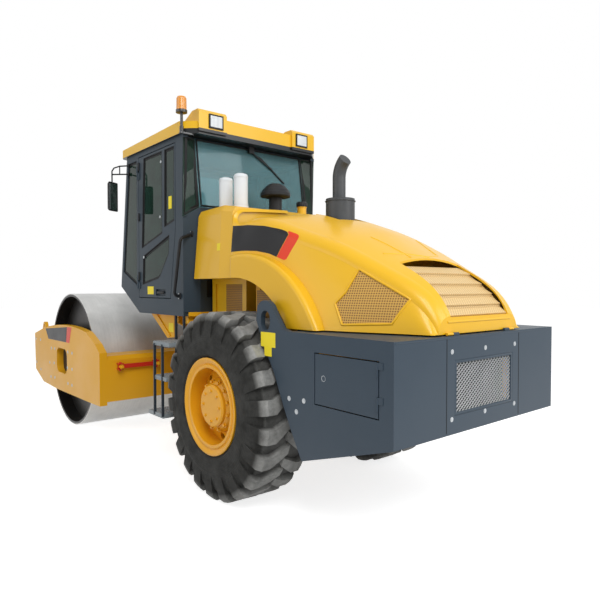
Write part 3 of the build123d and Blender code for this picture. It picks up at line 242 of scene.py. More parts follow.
def hexBolt(radius, height):
    head = start("cylinder", vertices=6, radius=radius, depth=height, location=(0, 0, height * 0.7))
    washer = disc(radius * 1.45, height * 0.25, 20)
    return together(soften(head, height * 0.12, 1), soften(washer, height * 0.06, 1))


# A rolled bead: a thin ring whose inner half is pressed flatter, so it beds on what it rings.
def roundBead(radius, thick, place, spin=0):
    ring = start("torus", major_radius=radius, minor_radius=thick, major_segments=56, minor_segments=10)
    editFaces(ring, lambda face: math.hypot(face.center.x, face.center.y) < radius)
    bpy.ops.transform.resize(value=(1, 1, 0.7), center_override=(0, 0, 0))
    done()
    ring.data.transform(Matrix.Translation(place) @ turned(spin, "Y"))
    return ring


def outlineFace(points):  # one flat face through places in space
    face = start("circle", vertices=len(points), fill_type="NGON")
    for vertex, point in zip(face.data.vertices, points):
        vertex.co = point
    face.data.update()
    return face


def border(points, width, outward, thick=0.0012):  # a flat band inside an outline
    band = outlineFace(points)
    editFaces(band, every)
    bpy.ops.mesh.inset(thickness=width)
    bpy.ops.mesh.delete(type="FACE")
    done()
    if sum(Vector(face.normal).dot(Vector(outward)) for face in band.data.polygons) < 0:
        band.data.flip_normals()
    return shape(band, "SOLIDIFY", thickness=thick, offset=1)


def linear(hexCode, alpha=1.0):
    parts = [int(hexCode[i:i + 2], 16) / 255 for i in (0, 2, 4)]
    return [c / 12.92 if c < 0.04045 else ((c + 0.055) / 1.055) ** 2.4 for c in parts] + [alpha]


def addNode(tree, kind, settings=(), links=()):
    node = tree.nodes.new(kind)
    for name, value in dict(settings).items():
        if isinstance(name, int) or name in node.inputs:
            node.inputs[name].default_value = value
        else:
            setattr(node, name, value)
    for name, source in dict(links).items():
        tree.links.new(source, node.inputs[name])
    return node


def newMaterial(name):
    made = bpy.data.materials.new(name)
    made.use_nodes = True
    made.node_tree.nodes.clear()
    return made, made.node_tree


def surface(tree, settings, links=()):
    base = addNode(tree, "ShaderNodeBsdfPrincipled", settings, links)
    addNode(tree, "ShaderNodeOutputMaterial", (), {"Surface": base.outputs[0]})
    return base


# Two-pack enamel sprayed on steel plate or moulded sheet: a smooth gloss with faint orange peel, and a film
# of dust that dulls and greys it a little, more of it low down.
enamelLooks = {
    "yellowEnamel": {"colour": "E3B018", "dust": "D8BE78", "dusty": 0.07, "rough": 0.34, "coat": 0.2,
                     "shine": 0.3},
    "roofEnamel": {"colour": "E6B41C", "dust": "D8C48C", "dusty": 0.08, "rough": 0.34, "coat": 0.2,
                   "shine": 0.3},
    "frameEnamel": {"colour": "E5A818", "dust": "C79B35", "dusty": 0.1, "rough": 0.36, "coat": 0.0,
                    "shine": 0.3},
    "wheelEnamel": {"colour": "E5A417", "dust": "A8802E", "dusty": 0.1, "rough": 0.34, "coat": 0.05,
                    "shine": 0.35},
    "slateEnamel": {"colour": "35424E", "dust": "6A7076", "dusty": 0.1, "rough": 0.4, "coat": 0.0,
                    "shine": 0.2},
    "cabEnamel": {"colour": "343F48", "dust": "555D65", "dusty": 0.08, "rough": 0.38, "coat": 0.0,
                  "shine": 0.15},
    "redEnamel": {"colour": "CC2A18", "dust": "8A5048", "dusty": 0.12, "rough": 0.35, "coat": 0.05,
                  "shine": 0.3},
    "bracketEnamel": {"colour": "2C333A", "dust": "5A6066", "dusty": 0.12, "rough": 0.42, "coat": 0.0,
                      "shine": 0.2},
    "blackEnamel": {"colour": "1D1F22", "dust": "4C4A47", "dusty": 0.22, "rough": 0.45, "coat": 0.0,
                    "shine": 0.2},
    "stepEnamel": {"colour": "7C868C", "dust": "A3A8AA", "dusty": 0.4, "rough": 0.5, "coat": 0.0, "shine": 0.3}}


def enamel(name):
    look = enamelLooks[name]
    made, tree = newMaterial(name)
    coords = addNode(tree, "ShaderNodeTexCoord").outputs["Object"]
    apart = addNode(tree, "ShaderNodeSeparateXYZ", (), {0: coords})
    cloud = addNode(tree, "ShaderNodeTexNoise", {"Scale": 2.2, "Detail": 5.0, "Roughness": 0.6},
                    {"Vector": coords})
    low = addNode(tree, "ShaderNodeMapRange", {"From Min": 1.3, "From Max": 0.2, "To Min": 0.5, "To Max": 1.4},
                  {"Value": apart.outputs["Z"]})
    thick = addNode(tree, "ShaderNodeMath", {"operation": "MULTIPLY"}, {0: cloud.outputs[0], 1: low.outputs[0]})
    film = addNode(tree, "ShaderNodeMapRange",
                   {"From Min": 0.2, "From Max": 0.9, "To Min": 0.0, "To Max": look["dusty"] * 2},
                   {"Value": thick.outputs[0]})
    colour = addNode(tree, "ShaderNodeMix",
                     {"data_type": "RGBA", 6: linear(look["colour"]), 7: linear(look["dust"])},
                     {0: film.outputs[0]})
    dull = addNode(tree, "ShaderNodeMapRange",
                   {"From Min": 0.3, "From Max": 0.8, "To Min": look["rough"] - 0.06,
                    "To Max": look["rough"] + 0.12}, {"Value": cloud.outputs[0]})
    peel = addNode(tree, "ShaderNodeTexNoise", {"Scale": 160.0, "Detail": 2.0},
                   {"Vector": coords})  # 6 mm, real peel is 1 mm
    bump = addNode(tree, "ShaderNodeBump", {"Strength": 0.06, "Distance": 0.001}, {"Height": peel.outputs[0]})
    surface(tree, {"Coat Weight": look["coat"], "Coat Roughness": 0.15, "IOR": 1.5,
                   "Specular IOR Level": look["shine"]},
            {"Base Color": colour.outputs[2], "Roughness": dull.outputs[0], "Normal": bump.outputs[0]})
    return made


def roofEnamel():  # the roof's own paint: its lower rim at the back is black
    made = enamel("roofEnamel")
    tree = made.node_tree
    base = [node for node in tree.nodes if node.type == "BSDF_PRINCIPLED"][0]
    painted = base.inputs["Base Color"].links[0].from_socket
    coords = addNode(tree, "ShaderNodeTexCoord").outputs["Object"]
    apart = addNode(tree, "ShaderNodeSeparateXYZ", (), {0: coords})
    low = addNode(tree, "ShaderNodeMath", {"operation": "LESS_THAN", 1: 3.147}, {0: apart.outputs["Z"]})
    behind = addNode(tree, "ShaderNodeMath", {"operation": "LESS_THAN", 1: rearAxle + 0.83},
                     {0: apart.outputs["X"]})
    flat = addNode(tree, "ShaderNodeMath", {"operation": "LESS_THAN", 1: 3.102}, {0: apart.outputs["Z"]})
    rim = addNode(tree, "ShaderNodeMath", {"operation": "MULTIPLY"}, {0: low.outputs[0], 1: behind.outputs[0]})
    dark = addNode(tree, "ShaderNodeMath", {"operation": "MAXIMUM"}, {0: rim.outputs[0], 1: flat.outputs[0]})
    both = addNode(tree, "ShaderNodeMix", {"data_type": "RGBA", 7: linear("17191B")},
                   {0: dark.outputs[0], 6: painted})
    tree.links.new(both.outputs[2], base.inputs["Base Color"])
    return made


yellow, roofPaint, frameYellow, wheelYellow, slate, cabGrey, red, bracketPaint, blackPaint, stepGrey = (
    roofEnamel() if name == "roofEnamel" else enamel(name) for name in enamelLooks)


# Natural rubber with carbon black, cured in a mould: dark matt sidewalls with fine rings, and lug faces
# scuffed pale by dust and gravel.
def tyreRubber():
    made, tree = newMaterial("tyreRubber")
    coords = addNode(tree, "ShaderNodeTexCoord").outputs["Object"]
    wheel = addNode(tree, "ShaderNodeMapping", {"Location": (-rearAxle, 0, -wheelHeight)}, {"Vector": coords})
    flat = addNode(tree, "ShaderNodeVectorMath", {"operation": "MULTIPLY", 1: (1, 0, 1)}, {0: wheel.outputs[0]})
    radius = addNode(tree, "ShaderNodeVectorMath", {"operation": "LENGTH"},
                     {0: flat.outputs[0]}).outputs["Value"]
    worn = addNode(tree, "ShaderNodeMapRange", {"From Min": 0.672, "From Max": 0.735, "To Max": 1.35},
                   {"Value": radius})
    scuff = addNode(tree, "ShaderNodeTexNoise", {"Scale": 9.0, "Detail": 8.0, "Roughness": 0.7},
                    {"Vector": coords})
    pale = addNode(tree, "ShaderNodeMath", {"operation": "MULTIPLY"}, {0: worn.outputs[0], 1: scuff.outputs[0]})
    dust = addNode(tree, "ShaderNodeMapRange",
                   {"From Min": 0.35, "From Max": 0.75, "To Min": 0.0, "To Max": 0.1},
                   {"Value": scuff.outputs[0]})
    share = addNode(tree, "ShaderNodeMath", {"operation": "ADD", "use_clamp": True},
                    {0: pale.outputs[0], 1: dust.outputs[0]})
    colour = addNode(tree, "ShaderNodeMix", {"data_type": "RGBA", 6: linear("21211F"), 7: linear("A3A3A0")},
                     {0: share.outputs[0]})
    rings = addNode(tree, "ShaderNodeTexWave", {"wave_type": "RINGS", "rings_direction": "Y", "Scale": 18.0},
                    {"Vector": wheel.outputs[0]})  # about 17 mm between the moulded rings
    band = addNode(tree, "ShaderNodeMapRange", {"From Min": 0.6, "From Max": 0.57}, {"Value": radius})
    ridge = addNode(tree, "ShaderNodeMath", {"operation": "MULTIPLY"},
                    {0: rings.outputs["Fac"], 1: band.outputs[0]})
    grain = addNode(tree, "ShaderNodeTexNoise", {"Scale": 120.0, "Detail": 3.0}, {"Vector": coords})
    height = addNode(tree, "ShaderNodeMath", {"operation": "MULTIPLY_ADD", 1: 0.25},
                     {0: grain.outputs[0], 2: ridge.outputs[0]})
    bump = addNode(tree, "ShaderNodeBump", {"Strength": 0.5, "Distance": 0.0015}, {"Height": height.outputs[0]})
    surface(tree, {"Roughness": 0.72, "Specular IOR Level": 0.15},
            {"Base Color": colour.outputs[2], "Normal": bump.outputs[0]})
    return made


# Rolled steel shell, turned and then polished by the ground: satin grey with fine lines round it, its end
# plates inside painted near black.
def drumSteel():
    made, tree = newMaterial("drumSteel")
    coords = addNode(tree, "ShaderNodeTexCoord").outputs["Object"]
    axle = addNode(tree, "ShaderNodeMapping", {"Location": (-drumAxle, 0, -drumHeight)}, {"Vector": coords})
    flat = addNode(tree, "ShaderNodeVectorMath", {"operation": "MULTIPLY", 1: (1, 0, 1)}, {0: axle.outputs[0]})
    radius = addNode(tree, "ShaderNodeVectorMath", {"operation": "LENGTH"},
                     {0: flat.outputs[0]}).outputs["Value"]
    inside = addNode(tree, "ShaderNodeMath", {"operation": "LESS_THAN", 1: 0.79}, {0: radius})
    lines = addNode(tree, "ShaderNodeMapping", {"Scale": (1.5, 180, 1.5)},
                    {"Vector": coords})  # turned about 6 mm apart
    turned = addNode(tree, "ShaderNodeTexNoise", {"Scale": 1.0, "Detail": 4.0}, {"Vector": lines.outputs[0]})
    cloud = addNode(tree, "ShaderNodeTexNoise", {"Scale": 3.0, "Detail": 6.0, "Roughness": 0.65},
                    {"Vector": coords})
    tone = addNode(tree, "ShaderNodeMath", {"operation": "MULTIPLY_ADD", 1: 0.4},
                   {0: turned.outputs[0], 2: cloud.outputs[0]})
    span = addNode(tree, "ShaderNodeMapRange", {"From Min": 0.45, "From Max": 0.95}, {"Value": tone.outputs[0]})
    colour = addNode(tree, "ShaderNodeMix", {"data_type": "RGBA", 6: linear("C2C2C0"), 7: linear("E2E2E0")},
                     {0: span.outputs[0]})
    both = addNode(tree, "ShaderNodeMix", {"data_type": "RGBA", 7: linear("1B1A19")},
                   {0: inside.outputs[0], 6: colour.outputs[2]})
    metal = addNode(tree, "ShaderNodeMapRange", {"To Min": 0.35, "To Max": 0.0}, {"Value": inside.outputs[0]})
    bump = addNode(tree, "ShaderNodeBump", {"Strength": 0.12, "Distance": 0.001}, {"Height": turned.outputs[0]})
    surface(tree, {"Roughness": 0.42},
            {"Base Color": both.outputs[2], "Metallic": metal.outputs[0], "Normal": bump.outputs[0]})
    return made


# Perforated sheet under yellow enamel: staggered round holes, drawn 20 mm apart because the real 8 mm ones
# are too fine to show; the dark where they open is painted shade of the space behind.
def perforatedSheet(name, face, slats, holeShade):
    made, tree = newMaterial(name)
    coords = addNode(tree, "ShaderNodeTexCoord").outputs["Object"]
    apart = addNode(tree, "ShaderNodeSeparateXYZ", (), {0: coords})
    away = addNode(tree, "ShaderNodeMath", {"operation": "ABSOLUTE"}, {0: apart.outputs["Y"]})
    onSlats = addNode(tree, "ShaderNodeMath", {"operation": "LESS_THAN", 1: 0.36}, {0: away.outputs[0]})
    fromBack = addNode(tree, "ShaderNodeCombineXYZ", (), {"X": apart.outputs["Y"], "Y": apart.outputs["Z"]})
    fromSide = addNode(tree, "ShaderNodeCombineXYZ", (), {"X": apart.outputs["X"], "Y": apart.outputs["Z"]})
    aslant = addNode(tree, "ShaderNodeMapping", {"Rotation": (0, 0, math.radians(40))},
                     {"Vector": fromBack.outputs[0]})
    flat = addNode(tree, "ShaderNodeMix", {"data_type": "VECTOR"},
                   {0: onSlats.outputs[0], 4: fromSide.outputs[0], 5: aslant.outputs[0]})
    cells = addNode(tree, "ShaderNodeTexVoronoi",
                    {"voronoi_dimensions": "2D", "Scale": 62.0, "Randomness": 0.0},
                    {"Vector": flat.outputs[1]})
    hole = addNode(tree, "ShaderNodeMapRange", {"From Min": 0.36, "From Max": 0.26},
                   {"Value": cells.outputs["Distance"]})
    fade = addNode(tree, "ShaderNodeMapRange", {"To Min": 1.0, "To Max": 0.4},
                   {"Value": onSlats.outputs[0]})  # slats shade their own holes less
    share = addNode(tree, "ShaderNodeMath", {"operation": "MULTIPLY"}, {0: hole.outputs[0], 1: fade.outputs[0]})
    lit = addNode(tree, "ShaderNodeMix", {"data_type": "RGBA", 6: linear(face), 7: linear(slats)},
                  {0: onSlats.outputs[0]})
    # painted shade in the holes, mixed over the sheet colour
    colour = addNode(tree, "ShaderNodeMix", {"data_type": "RGBA", 7: linear(holeShade)},
                     {0: share.outputs[0], 6: lit.outputs[2]})
    bump = addNode(tree, "ShaderNodeBump", {"Strength": 0.4, "Distance": 0.002, "invert": True},
                   {"Height": hole.outputs[0]})
    surface(tree, {"Roughness": 0.5, "IOR": 1.5}, {"Base Color": colour.outputs[2], "Normal": bump.outputs[0]})
    return made


# Toughened, tinted glass: hard, clear gloss, pale teal at the back. The mottled deep bottle green at the sides
# is a painted reflection of dark foliage.
def tintedGlass():
    made, tree = newMaterial("tintedGlass")
    coords = addNode(tree, "ShaderNodeTexCoord").outputs["Object"]
    apart = addNode(tree, "ShaderNodeSeparateXYZ", (), {0: coords})
    away = addNode(tree, "ShaderNodeMath", {"operation": "ABSOLUTE"}, {0: apart.outputs["Y"]})
    atSide = addNode(tree, "ShaderNodeMapRange", {"From Min": 0.644, "From Max": 0.652},
                     {"Value": away.outputs[0]})
    film = addNode(tree, "ShaderNodeTexNoise", {"Scale": 5.0, "Detail": 4.0}, {"Vector": coords})
    back = addNode(tree, "ShaderNodeMix", {"data_type": "RGBA", 6: linear("74A7B0"), 7: linear("94BFC6")},
                   {0: film.outputs[0]})
    # painted reflection: the mottled dark green of foliage seen in the side panes
    side = addNode(tree, "ShaderNodeMix", {"data_type": "RGBA", 6: linear("0C1A15"), 7: linear("335345")},
                   {0: film.outputs[0]})
    colour = addNode(tree, "ShaderNodeMix", {"data_type": "RGBA"},
                     {0: atSide.outputs[0], 6: back.outputs[2], 7: side.outputs[2]})
    clearness = addNode(tree, "ShaderNodeMapRange", {"To Min": 0.72, "To Max": 0.4},
                        {"Value": atSide.outputs[0]})
    surface(tree, {"Roughness": 0.04, "IOR": 1.33, "Specular IOR Level": 0.25},
            {"Base Color": colour.outputs[2], "Transmission Weight": clearness.outputs[0]})
    return made


# Plain finishes with a grain of their own: colour, its variation, roughness, metal, and the grain's size
# in metres.
plainLooks = {
    "blackPlastic": ("1B1C1E", "2A2B2D", 0.48, 0.0, 0.004),  # moulded polypropylene, finely grained
    "rubberSeal": ("131314", "1F1F20", 0.6, 0.0, 0.006),  # extruded rubber, dull and soft-edged
    "zincBolt": ("A4A8AB", "C2C6C9", 0.36, 0.6, 0.003),  # zinc-plated steel, bright with a faint bloom
    "meshSteel": ("8E9092", "B3B4B4", 0.42, 0.55, 0.008),  # expanded steel, galvanised and dulled
    "hydraulicChrome": ("CDD1D4", "E0E2E4", 0.12, 1.0, 0.02),  # hard chrome, ground and polished
    "blackVinyl": ("19191B", "232325", 0.35, 0.0, 0.01),  # cast vinyl film, smooth
    "redVinyl": ("D93A22", "E04A30", 0.35, 0.0, 0.01),
    "labelYellow": ("EFD61C", "F4DF3C", 0.4, 0.0, 0.01),
    "filterWhite": ("D3D8DC", "E2E6E9", 0.35, 0.0, 0.02),  # stove enamel on a spun can
    "heatBlack": ("24272A", "4A4C4E", 0.5, 0.2, 0.05),  # heat-proof paint, dusted by soot
    "cabTrim": ("2B2E32", "383C40", 0.62, 0.0, 0.005),  # moulded ABS panels
    "seatVinyl": ("24272B", "33373C", 0.55, 0.0, 0.006),  # grained vinyl over foam
    "mirrorSilver": ("C8D0D4", "D4DADD", 0.05, 1.0, 0.2)}  # silvered glass


def plain(name):
    first, second, rough, metal, grain = plainLooks[name]
    made, tree = newMaterial(name)
    coords = addNode(tree, "ShaderNodeTexCoord").outputs["Object"]
    cloud = addNode(tree, "ShaderNodeTexNoise", {"Scale": 6.0, "Detail": 6.0, "Roughness": 0.65},
                    {"Vector": coords})
    colour = addNode(tree, "ShaderNodeMix", {"data_type": "RGBA", 6: linear(first), 7: linear(second)},
                     {0: cloud.outputs[0]})
    dull = addNode(tree, "ShaderNodeMapRange",
                   {"From Min": 0.3, "From Max": 0.7, "To Min": rough * 0.85, "To Max": rough * 1.15},
                   {"Value": cloud.outputs[0]})
    fine = addNode(tree, "ShaderNodeTexNoise", {"Scale": 1 / grain, "Detail": 2.0}, {"Vector": coords})
    bump = addNode(tree, "ShaderNodeBump", {"Strength": 0.1, "Distance": grain / 8},
                   {"Height": fine.outputs[0]})
    surface(tree, {"Metallic": metal, "IOR": 1.5, "Specular IOR Level": 0.5 if metal else 0.2},
            {"Base Color": colour.outputs[2], "Roughness": dull.outputs[0],
             "Normal": bump.outputs[0]})
    return made


(blackPlastic, rubberSeal, zincBolt, meshSteel, chrome, blackVinyl, redVinyl, labelYellow, filterWhite,
 heatBlack, cabTrim, seatVinyl, mirrorSilver) = (plain(name) for name in plainLooks)


# Amber acrylic dome over a black base, ribbed inside; the bright bands along the ribs are painted glow, light
# shining through.
def amberDome():
    made, tree = newMaterial("amberDome")
    coords = addNode(tree, "ShaderNodeTexCoord").outputs["Object"]
    height = addNode(tree, "ShaderNodeSeparateXYZ", (), {0: coords}).outputs["Z"]
    isDome = addNode(tree, "ShaderNodeMath", {"operation": "GREATER_THAN", 1: 3.2975}, {0: height})
    ribs = addNode(tree, "ShaderNodeTexWave", {"bands_direction": "Z", "Scale": 26.0},
                   {"Vector": coords})  # 12 mm ribs
    # painted light: the ribs alternate darker amber and a painted glow
    ribGlowPainted = addNode(tree, "ShaderNodeMix", {"data_type": "RGBA", 6: linear("C56F0E"), 7: linear("EBA53A")},
                   {0: ribs.outputs["Fac"]})
    colour = addNode(tree, "ShaderNodeMix", {"data_type": "RGBA", 6: linear("1B1C1E")},
                     {0: isDome.outputs[0], 7: ribGlowPainted.outputs[2]})
    bump = addNode(tree, "ShaderNodeBump", {"Strength": 0.3, "Distance": 0.002},
                   {"Height": ribs.outputs["Fac"]})
    surface(tree, {"Roughness": 0.22, "IOR": 1.49, "Coat Weight": 0.4},
            {"Base Color": colour.outputs[2], "Normal": bump.outputs[0]})
    return made


# Pressed glass lens over a bright reflector: white, with upright flutes striped in painted shade and highlight.
def lampLens():
    made, tree = newMaterial("lampLens")
    coords = addNode(tree, "ShaderNodeTexCoord").outputs["Object"]
    flutes = addNode(tree, "ShaderNodeTexWave", {"bands_direction": "Y", "Scale": 22.0},
                     {"Vector": coords})  # 14 mm flutes
    # painted shade and highlight across each flute
    colour = addNode(tree, "ShaderNodeMix", {"data_type": "RGBA", 6: linear("AEB6BC"), 7: linear("E6EAEC")},
                     {0: flutes.outputs["Fac"]})
    bump = addNode(tree, "ShaderNodeBump", {"Strength": 0.4, "Distance": 0.002},
                   {"Height": flutes.outputs["Fac"]})
    surface(tree, {"Roughness": 0.12, "IOR": 1.5},
            {"Base Color": colour.outputs[2], "Normal": bump.outputs[0]})
    return made


rubber, steel, glass, amber, lens = tyreRubber(), drumSteel(), tintedGlass(), amberDome(), lampLens()
sheet = perforatedSheet("perforatedSheet", "C79B48", "DDBE86", "6A4718")
# a darker copy of the same sheet: painted shade for the screens under the hood
shadedScreenSheet = perforatedSheet("shadedSheet", "A8781C", "A8781C", "4A2E08")

finishes = [
    (yellow, ["hood", "tank_shell"]), (roofPaint, ["cab_roof"]), (sheet, ["hood_grilles"]),
    (frameYellow, ["front_frame", "centre_link", "rear_frame", "cab_base", "steer_barrel_left",
                   "steer_barrel_right"]),
    (wheelYellow, ["rim_left", "rim_right"]),
    (slate, ["counterweight", "tool_door_left", "tool_door_right", "rear_grille"]),
    (cabGrey, ["cab_frame", "door_left", "door_right"]), (red, ["lock_bar"]),
    (blackPaint, ["drum_mounts", "scrapers", "engine_block", "radiator", "rear_axle", "grab_handles"]),
    (bracketPaint, ["access_steps"]), (rubber, ["tyre_left", "tyre_right"]), (steel, ["drum"]),
    (chrome, ["steer_rod_left", "steer_rod_right"]),
    (glass, ["cab_glass", "door_glass_left", "door_glass_right"]),
    (blackPlastic, ["air_precleaner", "work_lamps", "mirrors", "rear_wiper"]), (heatBlack, ["exhaust_stack"]),
    (filterWhite, ["filter_canisters"]), (amber, ["beacon"]), (cabTrim, ["control_console", "steering_column"]),
    (seatVinyl, ["operator_seat"])]
for material, names in finishes:
    for name in names:
        data = nodes[name].data
        for i in range(len(data.materials)):
            data.materials[i] = material
        if not data.materials:
            data.materials.append(material)
print("finishes on the nodes")


# Joins a list of things if it gets one, then names, paints and hands the piece to its body.
def finish(thing, name, material, body="rear_unit", smooth=30):
    thing = together(*thing) if isinstance(thing, list) else thing
    thing.name = thing.data.name = name
    thing.data.materials.clear()
    thing.data.materials.append(material)
    pick(thing)
    bpy.ops.object.transform_apply(location=True, rotation=True, scale=True)
    if smooth:
        bpy.ops.object.shade_smooth_by_angle(angle=math.radians(smooth))
    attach(thing, body)
    return thing



studio = {"floorColour": "D8D8D8", "floorGlow": 0.78, "ambient": 0.42, "keyPower": 600, "fillPower": 290,
          "sidePower": 130}


def seenRays(tree):  # camera, glossy and transmission rays, which meet the white background
    path = addNode(tree, "ShaderNodeLightPath")
    either = addNode(tree, "ShaderNodeMath", {"operation": "MAXIMUM"},
                     {0: path.outputs["Is Camera Ray"], 1: path.outputs["Is Glossy Ray"]})
    every = addNode(tree, "ShaderNodeMath", {"operation": "MAXIMUM"},
                    {0: either.outputs[0], 1: path.outputs["Is Transmission Ray"]})
    return every.outputs[0]


def buildStudio():
    floor = start("plane", size=80)
    floor.name = "floor"
    made, tree = newMaterial("paleFloor")
    seen = seenRays(tree)
    diffuse = addNode(tree, "ShaderNodeBsdfDiffuse", {"Color": linear(studio["floorColour"])})
    glow = addNode(tree, "ShaderNodeEmission", {"Strength": studio["floorGlow"]})
    both = addNode(tree, "ShaderNodeAddShader", (), {0: diffuse.outputs[0], 1: glow.outputs[0]})
    mixed = addNode(tree, "ShaderNodeMixShader", (), {0: seen, 1: diffuse.outputs[0], 2: both.outputs[0]})
    addNode(tree, "ShaderNodeOutputMaterial", (), {"Surface": mixed.outputs[0]})
    floor.data.materials.append(made)

    world = bpy.data.worlds.new("studio")
    bpy.context.scene.world = world
    world.use_nodes = True
    tree = world.node_tree
    tree.nodes.clear()
    seen = seenRays(tree)
    soft = addNode(tree, "ShaderNodeBackground", {"Strength": studio["ambient"]})
    white = addNode(tree, "ShaderNodeBackground", {"Strength": 1.0})
    soft.inputs["Color"].default_value = white.inputs["Color"].default_value = (1, 1, 1, 1)
    mixed = addNode(tree, "ShaderNodeMixShader", (), {0: seen, 1: soft.outputs[0], 2: white.outputs[0]})
    addNode(tree, "ShaderNodeOutputWorld", (), {"Surface": mixed.outputs[0]})

    for name, place, size, power in (("key", (-8, 4, 8.5), 5, studio["keyPower"]),
                                     ("fill", (-9, -3, 5), 5, studio["fillPower"]),
                                     ("side", (1, 9, 4), 5, studio["sidePower"])):
        data = bpy.data.lights.new(name, "AREA")
        data.size = size
        data.energy = power
        lamp = bpy.data.objects.new(name, data)
        bpy.context.scene.collection.objects.link(lamp)
        lamp.location = place
        lamp.rotation_euler = (Vector((0, 0, 1)) - Vector(place)).to_track_quat("-Z", "Y").to_euler()


buildStudio()
print("studio lit")


# A thin film laid on one side of a node: the strip between two lines of (x, z), the x measured from an axle.
def film(name, low, high, axle, y, node, material, body, cuts, lift=0.0012):
    side = 1 if y > 0 else -1
    thing = start("grid", x_subdivisions=cuts[0], y_subdivisions=cuts[1], size=1)
    for vertex in thing.data.vertices:
        u, v = vertex.co.x + 0.5, vertex.co.y + 0.5
        a, b = alongLine(low, u), alongLine(high, u)
        vertex.co = (axle + a[0] + (b[0] - a[0]) * v, y, a[1] + (b[1] - a[1]) * v)
    thing.data.update()
    shape(thing, "SHRINKWRAP", target=nodes[node], wrap_method="PROJECT", use_project_x=False,
          use_project_y=True,
          use_negative_direction=True, use_positive_direction=True, offset=0.0)
    for vertex in thing.data.vertices:
        vertex.co.y += side * lift
    turnOutward(thing)
    if sum(face.normal.y for face in thing.data.polygons) * side < 0:
        thing.data.flip_normals()
    shape(thing, "SOLIDIFY", thickness=lift * 0.8, offset=-1)
    return finish(thing, name, material, body, 60)


panels = {
    "hood": {"low": [(0.074, 1.974), (-0.1, 1.977), (-0.254, 1.968), (-0.407, 1.941), (-0.49, 1.913)],
             "high": [(0.074, 2.19), (-0.087, 2.186), (-0.319, 2.16), (-0.494, 2.122), (-0.557, 2.1),
                      (-0.576, 2.076)],
             "redLow": [(-0.494, 1.912), (-0.58, 2.076), (-0.561, 2.102)],
             "redHigh": [(-0.572, 1.886), (-0.596, 1.892), (-0.676, 2.046), (-0.668, 2.066), (-0.645, 2.078),
                         (-0.577, 2.101)],
             "fit": (rearAxle, 1.0, "hood", "hood_body", (28, 10))},
    "plate": {"low": [(0.621, 1.009), (-0.104, 1.017)], "high": [(0.742, 1.134), (-0.146, 1.203)],
              "redLow": [(-0.109, 1.017), (-0.151, 1.203)], "redHigh": [(-0.226, 1.016), (-0.317, 1.207)],
              "fit": (drumAxle, 1.4, "front_frame", "front_unit", (8, 3))}}


def makePanels():  # bare black panels with a red tail, on the hood and on the drum frame's side plates
    for side, word in sides:
        for part, low, high, vinyl in (("black", "low", "high", blackVinyl),
                                       ("red", "redLow", "redHigh", redVinyl)):
            for where, look in panels.items():
                axle, y, node, body, cuts = look["fit"]
                name = where + "_panel_" + part + "_" + word
                film(name, look[low], look[high], axle, side * y, node, vinyl, body, cuts)


plateBolts = {"radius": 0.019, "height": 0.002, "y": 1.165, "places": [
    (1.217, .965), (.988, .969), (1.184, .647), (.983, .567), (.495, .896), (.352, .902), (.571, .705),
    (.382, .716),
    (.525, .524), (.358, .534), (-.17, .906), (-.324, .906), (-.147, .715), (-.318, .716), (-.165, .528),
    (-.311, .526)]}


def makePlateBolts():  # countersunk heads, nearly flush with the plates
    look = plateBolts
    radius, height = look["radius"], look["height"]
    for side, word in sides:
        head = stamp(disc(radius, height, 24), up, (radius * 0.25, radius * 0.12), (0, 0, -height * 0.6))
        bolts = spread(head, sideways(side, look["y"], look["places"], drumAxle))
        finish(bolts, "plate_bolts_" + word, zincBolt, "front_unit")


rearMesh = {"half": 0.3385, "low": 0.8915, "high": 1.2335, "x": -1.78, "columns": 19, "rows": 13, "wire": 0.009,
            "rim": 0.018, "deep": 0.012, "boltX": -1.79, "boltY": 0.37, "boltZ": (1.29, 0.872)}


def makeRearMesh():  # expanded metal in a pressed frame, bolted over the opening
    look = rearMesh
    middle = (look["low"] + look["high"]) / 2
    wide, tall = look["half"] * 2, look["high"] - look["low"]
    across = wide / look["columns"]
    upright = turned(-90, "Y")
    mesh = start("grid", x_subdivisions=look["columns"], y_subdivisions=look["rows"], size=1,
                 scale=(wide, tall, 1))
    editFaces(mesh, every)
    bpy.ops.mesh.poke()  # each cell gets a middle point; without the straight lines what is left is diamonds
    done()

    def isGridLine(a, b):
        inside = min(abs(a.x), abs(b.x)) < wide / 2 - 1e-4 and min(abs(a.y), abs(b.y)) < tall / 2 - 1e-4
        return inside and min(abs(a.x - b.x), abs(a.y - b.y)) < across * 0.1

    editEdges(mesh, isGridLine)
    bpy.ops.mesh.dissolve_edges(use_verts=False)
    done()
    shape(mesh, "WIREFRAME", thickness=look["wire"], use_even_offset=False, use_replace=True)
    mesh.data.transform(Matrix.Translation(rear(look["x"], 0, middle)) @ upright @ turned(90, "Z"))
    finish(mesh, "rear_mesh", meshSteel)

    ring = start("plane", size=1, scale=(tall, wide, 1))
    editFaces(ring, every)
    bpy.ops.mesh.inset(thickness=look["rim"])
    bpy.ops.mesh.delete(type="FACE")
    bpy.ops.mesh.select_all(action="SELECT")
    extrude((0, 0, look["deep"]))
    done()
    turnOutward(ring)
    soften(ring, 0.002)
    ring.data.transform(Matrix.Translation(rear(look["x"] + 0.002, 0, middle)) @ upright)
    finish(ring, "rear_mesh_frame", slate)
    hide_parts("rear_grille")
    places = [rear(look["boltX"], y, z) for z in look["boltZ"] for y in (look["boltY"], 0, -look["boltY"])]
    bolts = spread(hexBolt(0.011, 0.0022), [toward(place, (-1, 0, 0)) for place in places])
    finish(bolts, "rear_mesh_bolts", zincBolt)


weightTrim = {"seam": 0.425, "low": 0.79, "high": 1.375, "lip": (0.0042, [-0.905, -0.45, 0.45, 0.905]),
              "lock": (-1.215, 1.109), "bolts": [(-.869, .93), (-1.023, .937), (-.947, .852)],
              "marker": (-0.6305, 0.9152, 1.3125), "wide": 0.171, "tall": 0.105, "stemHalf": 0.043,
              "stem": 0.065}


